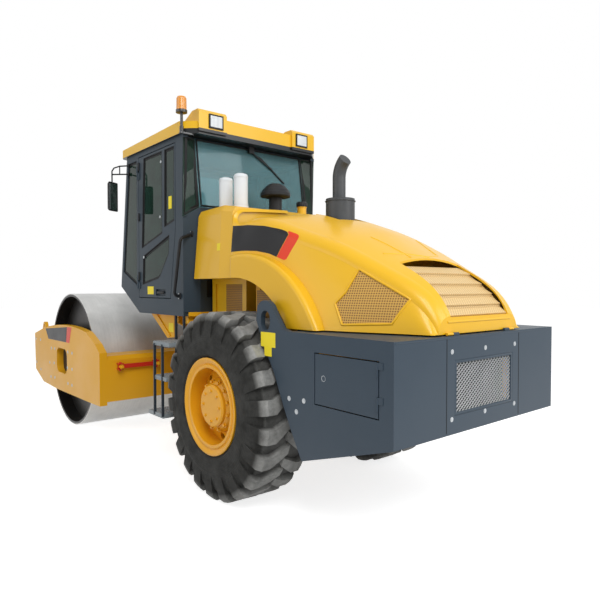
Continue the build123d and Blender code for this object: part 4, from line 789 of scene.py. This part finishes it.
def makeWeightTrim():  # the counterweight's plate seams, door locks, bolts and the eyes' blank markers
    look = weightTrim
    seams = [slab(side, (-1.7912, look["seam"] - 0.003, look["low"]),
                  (-1.7895, look["seam"] + 0.003, look["high"]), 0.0006) for side, word in sides]
    finish(seams, "weight_seams", rubberSeal, smooth=0)
    radius, across = look["lip"]
    lip = bar([rear(-1.7878, y, look["high"] - 0.002) for y in across], radius, 3)
    finish(lip, "weight_lip", slate, smooth=60)
    for side, word in sides:
        lock = stamp(disc(0.019, 0.003, 28), up, (0.006,), (0, 0, -0.0012))
        lock = spread(lock, sideways(side, 0.9125, [look["lock"]]))
        finish(lock, "tool_lock_" + word, zincBolt, "tool_door_" + word + "_body")
        bolts = spread(hexBolt(0.012, 0.0024), sideways(side, 0.915, look["bolts"]))
        finish(bolts, "weight_bolts_" + word, zincBolt)

        marker = start("plane", size=1, scale=(look["wide"], look["tall"], 1))
        split(marker, every, 2)
        for vertex in marker.data.vertices:  # a T: the middle column carries on below
            if abs(vertex.co.x) < 0.05:
                vertex.co.x = math.copysign(look["stemHalf"], vertex.co.x)
        marker.data.update()
        editEdges(marker, lambda a, b: max(a.y, b.y) < -0.052 and max(abs(a.x), abs(b.x)) < 0.05)
        extrude((0, -look["stem"], 0))
        done()
        shape(marker, "SOLIDIFY", thickness=0.0008, offset=1)
        x, y, z = look["marker"]
        marker.data.transform(Matrix.Translation(rear(x, side * y, z)) @ turned(-90 * side, "X")
                              @ Matrix.Scale(-side, 4, (0, 1, 0)))
        turnOutward(marker)
        finish(marker, "eye_marker_" + word, labelYellow, smooth=0)


hexRing = {"corners": [(-1.195, 1.8), (-1.56, 1.608), (-1.482, 1.458), (-1.168, 1.442), (-1.09, 1.578),
                       (-1.145, 1.65)], "grow": 1.035, "radius": 0.009, "sink": 0.003}


def makeHexRings():  # the raised lip round each side grille
    look = hexRing
    middle = [sum(corner[i] for corner in look["corners"]) / 6 for i in (0, 1)]
    outer = [[m + (c - m) * look["grow"] for c, m in zip(corner, middle)] for corner in look["corners"]]
    for side, word in sides:
        starts = [rear(a[0] + (b[0] - a[0]) * i / 8, side * 1.2, a[1] + (b[1] - a[1]) * i / 8)
                  for a, b in zip(outer, outer[1:] + outer[:1]) for i in range(8)]
        points = traceHood(starts, (0, -side, 0), (0, -side * look["sink"], 0))
        finish(bar(points, look["radius"], 3, True), "grille_lip_" + word, yellow, "hood_body", 60)


hoodCreases = {"radius": 0.01, "rim": 1.47, "rimHalf": 0.365, "lines": [
    [(-1.009, .262), (-1.128, .220), (-1.265, .187)], [(-1.215, .36), (-1.24, .28), (-1.265, .187)],
    [(-1.316, .187), (-1.265, .187)], [(-1.265, .187), (-1.32, 0.0), (-1.265, -.187)],
    [(-1.009, -.262), (-1.128, -.220), (-1.265, -.187)]]}


def makeHoodCreases():  # pressed lines on the top of the hood, and one under the rear slats
    radius = hoodCreases["radius"]
    bars = []
    for line in hoodCreases["lines"]:
        starts = [rear(*alongLine(line, i / 12), 3.0) for i in range(13)]
        bars.append(bar(traceHood(starts, (0, 0, -1), (0, 0, -radius * 0.55)), radius, 3))
    starts = [rear(-2.3, hoodCreases["rimHalf"] * (i / 9 - 1), hoodCreases["rim"]) for i in range(19)]
    bars.append(bar(traceHood(starts, (1, 0, 0), (radius * 0.5, 0, 0)), radius, 3))
    finish(bars, "hood_creases", yellow, "hood_body", 60)


hubBolts = {"hub": {"count": 12, "first": 0.5, "circle": 0.19, "y": 0.962, "size": (0.0135, 0.017)},
            "cap": {"count": 8, "first": 0, "circle": 0.12, "y": 1.0098, "size": (0.01, 0.009)}}


def makeHubBolts():  # bolts round each hub, and smaller ones on its cap
    for side, word in sides:
        for name, look in hubBolts.items():
            turns = [2 * math.pi * (i + look["first"]) / look["count"] for i in range(look["count"])]
            ring = [(math.cos(t) * look["circle"], wheelHeight + math.sin(t) * look["circle"]) for t in turns]
            bolts = spread(hexBolt(*look["size"]), sideways(side, look["y"], ring))
            finish(bolts, name + "_bolts_" + word, wheelYellow, "wheel_" + word + "_body")


paneSeals = {"radius": 0.008, "y": 0.793, "panes": [
    [(1.27, 2.212), (1.745, 2.09), (1.69, 3.02), (1.27, 3.02)],
    [(1.016, 2.314), (1.222, 2.269), (1.212, 3.02), (1.014, 3.02)],
    [(1.12, 2.19), (1.132, 2.008), (1.319, 1.795), (1.362, 1.769), (1.728, 1.708), (1.713, 2.006)]],
    "clips": [(1.287, 2.916), (1.311, 2.379), (1.694, 1.995)], "hinge": (1.8, 0.806),
             "hinges": (1.8, 2.42, 2.95),
    "pull": ((1.235, 0.793, 1.618), (1.385, 0.807, 1.642))}


def makePaneSeals():  # rubber round the door panes, glass clips, hinges and the pull handle
    look = paneSeals
    for side, word in sides:
        body = "door_" + word + "_body"
        seals = [bar([rear(x, side * look["y"], z) for x, z in pane], look["radius"], 2, True)
                 for pane in look["panes"]]
        finish(seals, "pane_seals_" + word, rubberSeal, body, 60)
        clips = spread(soften(disc(0.014, 0.006, 20), 0.002), sideways(side, 0.799, look["clips"]))
        finish(clips, "glass_clips_" + word, zincBolt, body)
        x, y = look["hinge"]
        knuckles = [soften(start("cylinder", vertices=20, radius=0.013, depth=0.085,
                                 location=rear(x, side * y, z)), 0.003) for z in look["hinges"]]
        finish(knuckles, "door_hinges_" + word, blackPaint, body)
        lever = stamp(slab(side, *look["pull"], 0.006), (1, 0, 0), (0.002,), (0.006, 0, 0))
        finish(lever, "door_pull_" + word, blackPlastic, body)


rearSeal = {"low": (0.797, 2.448), "high": (0.889, 3.082), "half": 0.634, "radius": 0.009}


def makeRearSeal():
    look = rearSeal
    corners = [rear(x, way * look["half"], z) for (x, z), first in ((look["low"], 1), (look["high"], -1))
               for way in (first, -first)]
    finish(bar(corners, look["radius"], 2, True), "rear_pane_seal", rubberSeal, smooth=60)


lampFaces = {"inset": (0.01, 0.004), "bulge": 0.0012, "bezel": 0.0026,
             "rear": {"way": -1, "x": 0.7, "low": 3.172, "high": 3.278, "inner": 0.457, "outer": 0.586},
             "front": {"way": 1, "x": 2.285, "low": 3.113, "high": 3.173, "inner": 0.45, "outer": 0.59}}


def makeLamps():  # a lens behind a bezel on each work lamp
    lenses, bezels = [], []
    for look in (lampFaces["rear"], lampFaces["front"]):
        x, low, high, way = (look[key] for key in ("x", "low", "high", "way"))
        for side, word in sides:
            plate = slab(side, (x - 0.001, look["inner"], low), (x + 0.001, look["outer"], high))
            stamp(plate, (way, 0, 0), lampFaces["inset"], (way * lampFaces["bulge"], 0, 0))
            lenses.append(soften(plate, 0.0005, 1))
            first, last = sorted((side * look["inner"], side * look["outer"]))
            ring = [rear(x, y, z) for y, z in ((first, low), (last, low), (last, high), (first, high))]
            bezels.append(bar(ring, lampFaces["bezel"], 2, True))
    finish(lenses, "lamp_lenses", lens)
    finish(bezels, "lamp_bezels", blackPlastic, smooth=60)


stepLook = {"levels": [(0.715, 1.04, 1.165), (0.775, 1.02, 0.85), (0.845, 1.14, 0.505)], "inner": 0.792,
            "outer": 1.0115, "button": (0.011, 0.005), "seat": 0.0175, "pitch": 0.036, "rows": 5,
            "rowPitch": 0.04,
            "firstRow": 0.82, "margin": 0.03, "top": 0.0195, "thick": 0.003, "under": 0.017,
            "front": (1.0093, 1.0121), "end": (-0.0008, 0.0022),
            "web": ((0.085, 0.793, -0.305), (0.235, 0.799, -0.018))}


def makeTreads():  # raised grip buttons on the step plates, every second row set over by half a pitch
    look = stepLook
    button = stamp(disc(*look["button"], 12), up, (0.004,), (0, 0, 0.0015))
    places = []
    for side, word in sides:
        for low, high, z in look["levels"]:
            for i in range(int((high - low - look["margin"]) / look["pitch"])):
                for j in range(look["rows"]):
                    x = low + look["margin"] + (i + j % 2 / 2) * look["pitch"]
                    if x < high - 0.02:
                        y = side * (look["firstRow"] + j * look["rowPitch"])
                        places.append(toward(rear(x, y, z + look["seat"]), up))
    finish(spread(button, places), "step_buttons", meshSteel)


handleFeet = {"radius": 0.03, "thick": 0.01, "bolts": 0.021,
              "places": [(0.905, 0.8, 1.6), (0.822, 0.718, 2.178)]}


def makeHandleFeet():  # round flanges with chrome bolts where each grab handle meets the cab
    look = handleFeet
    feet, bolts = [], []
    for side, word in sides:
        for x, y, z in look["places"]:
            foot = stamp(disc(look["radius"], look["thick"], 28), up, (0.01,), (0, 0, 0.004))
            feet.append(spread(soften(foot, 0.0015), sideways(side, y, [(x, z)])))
            bolts += sideways(side, y + look["thick"], [(x, z - look["bolts"]), (x, z + look["bolts"])])
    finish(feet, "handle_feet", blackPaint)
    finish(spread(hexBolt(0.0055, 0.006), bolts), "handle_bolts", zincBolt)


engineTrim = {"cap": (0.44, -0.3, 2.5), "capRadius": 0.054, "capTall": 0.04, "knurl": 11.25,
              "vanes": 24, "vane": Vector((0.003, 0.01, 0.03)), "vaneCircle": 0.075, "vaneDrop": 0.115,
              "rims": (0.1235, 0.006, -0.42, (2.405, 2.12)),
              "beads": (0.0615, 0.0045, (0.575, 0.33), (2.418, 2.655))}


def makeEngineTrim():  # fuel cap, precleaner vanes, silencer rims and canister beads
    look = engineTrim
    middle = rear(*look["cap"])
    cap = start("cylinder", vertices=32, radius=look["capRadius"], depth=look["capTall"], location=middle)
    stamp(cap, up, (0.012,), (0, 0, 0.01))

    def isGrip(face):  # every second face round the cap
        turn = math.degrees(math.atan2(face.normal.y, face.normal.x))
        return abs(face.normal.z) < 0.1 and int(turn // look["knurl"]) % 2 == 0

    editFaces(cap, isGrip)
    bpy.ops.mesh.inset(thickness=0.0015, use_individual=True)
    bpy.ops.transform.resize(value=(1.03, 1.03, 1.0), center_override=middle)
    done()
    finish(soften(cap, 0.002, 1), "fuel_cap", blackPlastic)

    low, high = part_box("air_precleaner")
    middle = (low + high) / 2
    turns = [2 * math.pi * i / look["vanes"] for i in range(look["vanes"])]
    vanes = spread(block(-look["vane"], look["vane"]), [
        Matrix.Translation((middle.x + math.cos(t) * look["vaneCircle"],
                            middle.y + math.sin(t) * look["vaneCircle"],
                            high.z - look["vaneDrop"])) @ Matrix.Rotation(t + math.pi / 2, 4,
                                                                          "Z") for t in turns])
    finish(vanes, "precleaner_vanes", blackPlastic)
    radius, thick, x, heights = look["rims"]
    finish([roundBead(radius, thick, rear(x, 0, z)) for z in heights], "silencer_rims", heatBlack, smooth=60)
    radius, thick, along, heights = look["beads"]
    beads = [roundBead(radius, thick, rear(x, 0.5, z)) for x in along for z in heights]
    finish(beads, "canister_beads", filterWhite, smooth=60)


glassBorders = {"width": 0.026, "door": 0.7886,
                "quarter": [(0.7995, 0.6575, 2.44), (0.8415, 0.791, 2.352), (0.833, 0.781, 3.08),
                            (0.8885, 0.65, 3.08)],
                "front": [(1.877, 1.7), (2.235, 1.85), (2.078, 3.025), (1.862, 3.025)],
                "back": [(0.7975, 0.64, 2.44), (0.7975, -0.64, 2.44), (0.8905, -0.64, 3.09),
                         (0.8905, 0.64, 3.09)]}


def makeGlassBorders():  # the black printed border and seal inside each fixed pane and door pane
    look = glassBorders
    width, door = look["width"], look["door"]
    for side, word in sides:
        bands = [border([rear(x, side * door, z) for x, z in pane], width,
                        (0, side, 0)) for pane in paneSeals["panes"]]
        finish(bands, "door_glass_border_" + word, rubberSeal, "door_" + word + "_body", 0)
        quarter = border([rear(x, side * y, z) for x, y, z in look["quarter"]], width, (-1, side, 0))
        ahead = border([rear(x, side * door, z) for x, z in look["front"]], width, (0, side, 0))
        finish([quarter, ahead], "side_glass_border_" + word, rubberSeal, smooth=0)
    back = border([rear(*corner) for corner in look["back"]], 0.018, (-1, 0, 0))
    finish(back, "rear_glass_border", rubberSeal, smooth=0)


mirrorLook = {"x": 2.075, "y": 0.985, "z": 2.652, "wide": 0.15, "tall": 0.322, "thick": 0.042, "turn": 27.0,
              "arm": 0.0075, "rim": 0.022,
              "upper": [(0.802, 3.008), (0.9, 2.99), (0.962, 2.962), (0.985, 2.925), (0.985, 2.8)],
              "lower": [(0.802, 2.916), (0.88, 2.905), (0.985, 2.89)], "brace": [(0.9, 2.902), (0.9, 2.99)]}


def makeMirrors():  # a rounded shell with set-in glass on two tube arms, each side
    look = mirrorLook
    shells, glasses, arms = [], [], []
    corner = Vector((look["thick"], look["wide"], look["tall"])) / 2
    for side, word in sides:
        shell = block(-corner, corner, 0)
        editFaces(shell, facing((1, 0, 0)))
        bpy.ops.transform.resize(value=(1, 0.72, 0.86))
        done()
        stamp(soften(shell, 0.016, 4), (-1, 0, 0), (0.008,), (0.005, 0, 0), limit=0.95)
        half = corner - Vector((0, look["rim"], look["rim"]))
        pane = block((-half.x + 0.0035, -half.y, -half.z), (-half.x + 0.0065, half.y, half.z), 0)
        place = Matrix.Translation(rear(look["x"], side * look["y"], look["z"])) @ turned(side * look["turn"],
                                                                                          "Z")
        shell.data.transform(place)
        pane.data.transform(place)
        shells.append(shell)
        glasses.append(soften(pane, 0.0008, 1))
        for path, thick in (("upper", 1), ("lower", 1), ("brace", 0.8)):
            arms.append(bar([rear(look["x"], side * y, z) for y, z in look[path]], look["arm"] * thick, 3))
        for path in ("upper", "lower"):
            foot = stamp(disc(0.019, 0.008, 24), up, (0.006,), (0, 0, 0.003))
            arms.append(spread(foot, sideways(side, 0.8, [(look["x"], look[path][0][1])])))
    head = finish(shells, "mirror_shells", blackPlastic)
    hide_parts("mirrors")
    finish(glasses, "mirror_glass", mirrorSilver)
    finish(arms, "mirror_arms", blackPaint, smooth=60)


screenLook = {"engine": {"y": 0.5005, "low": 0.62, "high": 1.66, "across": [(-0.335, -0.135), (-0.115, 0.085)]},
              "shell": {"y": 0.5165, "low": 1.2, "high": 1.79, "across": [(0.235, 0.545)]}}


# Their darker sheet is painted shade: the screens stand in the hood's shadow.
def makeScreens():  # perforated side screens below the hood and behind the shell's edge
    for side, word in sides:
        parts = [slab(side, (first, look["y"], look["low"]), (last, look["y"] + 0.003, look["high"]), 0.001)
                 for look in screenLook.values() for first, last in look["across"]]
        finish(parts, "side_screens_" + word, shadedScreenSheet, smooth=0)


cabRear = {"x": 0.8018, "half": 0.574, "low": 1.589, "high": 1.751}


# Its black is painted shade: the plate stands in for the dark duct opening in the recess.
def makeCabRearPanel():  # the black plate in the recess behind the cab, with pressed panels
    look = cabRear
    plate = block(rear(look["x"] - 0.003, -look["half"], look["low"]),
                  rear(look["x"], look["half"], look["high"]), 0)
    split(plate, facing((-1, 0, 0)), 7)
    stamp(plate, (-1, 0, 0), (0.006,), (0.0015, 0, 0), True)
    finish(plate, "cab_rear_shade_plate", blackPaint)


lockLook = {"x": 1.969, "ends": (0.54, 0.96), "z": 0.835, "pin": 0.017, "long": 0.064, "grip": 0.018,
            "rim": 0.005,
            "ring": (0.021, 0.004), "pinBack": 0.034, "ringBack": 0.062}


def makeLockPins():  # yellow pins through the ends of the steering lock bar
    look = lockLook
    pins = []
    for y in look["ends"]:
        pin = start("cylinder", vertices=24, radius=look["pin"], depth=look["long"])
        editFaces(pin, facing(up))
        bpy.ops.mesh.inset(thickness=look["rim"])
        extrude((0, 0, look["grip"]))
        done()
        place, ringPlace = (rear(look["x"] - look[back], y, look["z"]) for back in ("pinBack", "ringBack"))
        pins += [spread(soften(pin, 0.003), [toward(place, (-1, 0, 0))]),
                 roundBead(*look["ring"], ringPlace, 90)]
    finish(pins, "lock_pins", frameYellow, "front_unit")


engineDeck = {"back": -0.3, "front": 0.084, "half": 0.46, "z": 1.965, "thick": 0.006, "hole": (-0.42, 0.15)}


def makeEngineDeck():  # a pressed black deck under the hood's mouth, behind the tank
    look = engineDeck
    z = look["z"]
    deck = block(rear(look["back"], -look["half"], z), rear(look["front"], look["half"], z + look["thick"]), 0)
    split(deck, facing(up), 3)
    stamp(deck, up, (0.018,), (0, 0, -0.003), True)
    x, radius = look["hole"]
    hole = start("cylinder", vertices=40, radius=radius, depth=0.2, location=rear(x, 0, z))
    shape(deck, "BOOLEAN", object=hole, operation="DIFFERENCE", solver="EXACT")
    bpy.data.objects.remove(hole)
    finish(deck, "engine_deck", blackPaint, smooth=0)


markerLook = {"thick": 0.001, "shell": ((0.262, 0.322), (1.998, 2.06)), "places": {
    "gusset": ("rear_unit", 0.7065, (1.225, 1.325), (1.235, 1.325)),
    "glass": ("door_{}_body", 0.789, (1.085, 1.15), (2.44, 2.56)),
    "sill": ("door_{}_body", 0.8, (1.47, 1.61), (1.61, 1.69))}}


def makeMarkers():  # blank yellow stickers
    across, heights = markerLook["shell"]
    for side, word in sides:
        low, high = ([(x, z) for x in across] for z in heights)
        film("marker_shell_" + word, low, high, rearAxle, side * 1.2, "tank_shell", labelYellow, "rear_unit",
             (6, 6))
        for name, (body, y, (x0, x1), (z0, z1)) in markerLook["places"].items():
            patch = slab(side, (x0, y, z0), (x1, y + markerLook["thick"], z1))
            stamp(patch, (0, side, 0), (0.004,), (0, side * 0.0003, 0))
            finish(patch, "marker_" + name + "_" + word, labelYellow, body.format(word), 0)


seatLook = {"cushion": ((1.105, -0.228, 1.76), (1.578, 0.228, 1.866)), "voxel": 0.009, "cap": 0.014,
            "pressure": 4.0,
            "back": [(1.098, 1.872), (1.186, 1.872), (1.102, 2.462), (1.032, 2.462)], "backHalf": 0.218,
            "channels": (-0.125, 0.125), "channelHalf": 0.022, "channelDeep": 0.006,
            "base": ((1.13, -0.18, 1.452), (1.55, 0.18, 1.5)),
            "pan": ((1.115, -0.215, 1.712), (1.56, 0.215, 1.748)),
            "folds": 6, "fold": ((1.16, -0.16, 1.512), (1.52, 0.16, 1.542)), "foldPitch": 0.034,
            "foldOut": 0.012}


def puff(thing, look):  # foam pressing out its cover, held to a small cap
    shape(thing, "REMESH", mode="VOXEL", voxel_size=look["voxel"])
    before = [vertex.co.copy() for vertex in thing.data.vertices]
    pick(thing)
    cloth = thing.modifiers.new("cloth", "CLOTH")
    cloth.settings.use_pressure = True
    cloth.settings.uniform_pressure_force = look["pressure"]
    cloth.settings.effector_weights.gravity = 0
    cloth.point_cache.frame_start, cloth.point_cache.frame_end = 1, 20
    for moment in range(1, 21):
        bpy.context.scene.frame_set(moment)
    bpy.ops.object.modifier_apply(modifier="cloth")
    bpy.context.scene.frame_set(1)
    for vertex, was in zip(thing.data.vertices, before):
        move = vertex.co - was
        if move.length > look["cap"]:
            vertex.co = was + move.normalized() * look["cap"]
    return shape(thing, "SMOOTH", factor=0.5, iterations=3)


def sewChannels(thing, axis, look):  # two sewn channels, front to back on the cushion or up the backrest
    for vertex in thing.data.vertices:
        for line in look["channels"]:
            away = abs(vertex.co.y - line)
            if away < look["channelHalf"] and vertex.normal[axis] > 0.5:
                dip = (1 + math.cos(math.pi * away / look["channelHalf"])) / 2
                vertex.co[axis] -= look["channelDeep"] * dip


def makeSeat():  # vinyl cushions with sewn channels on a sprung base
    look = seatLook
    cushion = block(*(rear(*corner) for corner in look["cushion"]), 0.03)
    editFaces(cushion, facing(up))
    bpy.ops.transform.resize(value=(0.94, 0.94, 1))
    done()
    puff(cushion, look)
    back = outlineFace([rear(x, -look["backHalf"], z) for x, z in look["back"]])
    editFaces(back, every)
    extrude((0, look["backHalf"] * 2, 0))
    done()
    turnOutward(back)
    puff(soften(back, 0.026, 3), look)
    for thing, axis in ((cushion, 2), (back, 0)):
        sewChannels(thing, axis, look)
        shape(thing, "SUBSURF", levels=1, render_levels=1)
    cushionPiece = finish(cushion, "seat_cushion", seatVinyl, smooth=180)
    backPiece = finish(back, "seat_back", seatVinyl, smooth=180)

    base = block(*(rear(*corner) for corner in look["base"]), 0.006)
    pan = block(*(rear(*corner) for corner in look["pan"]), 0.008)
    folds = []
    for i in range(look["folds"]):  # bellows between the base and the pan
        low, high = (rear(x, y, z + i * look["foldPitch"]) for x, y, z in look["fold"])
        fold = block(low, high, 0)
        split(fold, lambda face: abs(face.normal.z) < 0.1, 1)
        middle = (low + high) / 2
        for vertex in fold.data.vertices:
            if abs(vertex.co.z - middle.z) < 0.002:
                vertex.co.x += math.copysign(look["foldOut"], vertex.co.x - middle.x)
                vertex.co.y += math.copysign(look["foldOut"], vertex.co.y)
        folds.append(fold)
    frameParts = finish([base, pan, *folds], "seat_base", blackPlastic)
    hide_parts("operator_seat")


def makeStepPlates():  # bright tread plates over the dark brackets, and the web down to the next tread
    look = stepLook
    inner, outer, margin = look["inner"], look["outer"], 0.002
    plates, webs = [], []
    for side, word in sides:
        for low, high, z in look["levels"]:
            top, under = z + look["top"], z - look["under"]
            plate = slab(side, (low + margin, inner, top - look["thick"]), (high - margin, outer, top))
            plates.append(stamp(plate, up, (0.008,), (0, 0, -0.001)))
            (front, face), (first, last) = look["front"], look["end"]
            plates.append(slab(side, (low + margin, front, under), (high - margin, face, top), 0.0005))
            if z > 0.6:  # the lowest step has nothing hanging from it
                ends = [(low + x, y, z + drop) for x, y, drop in look["web"]]
                webs.append(slab(side, *ends, 0.001))
            plates.append(slab(side, (low + first, inner, under), (low + last, outer, top), 0.0005))
    finish(plates, "step_plates", stepGrey)
    finish(webs, "step_webs", bracketPaint)


stages = {
    "panels on the hood and plates": (makePanels,),
    "plates and counterweight trimmed": (makePlateBolts, makeRearMesh, makeWeightTrim),
    "fittings made": (makeHexRings, makeHoodCreases, makeHubBolts, makePaneSeals, makeRearSeal, makeLamps,
                      makeTreads,
                      makeHandleFeet, makeEngineTrim, makeGlassBorders, makeMirrors, makeScreens,
                      makeCabRearPanel,
                      makeLockPins, makeMarkers, makeEngineDeck, makeStepPlates),
    "seat made": (makeSeat,)}
for message, makers in stages.items():
    for make in makers:
        make()
    print(message)
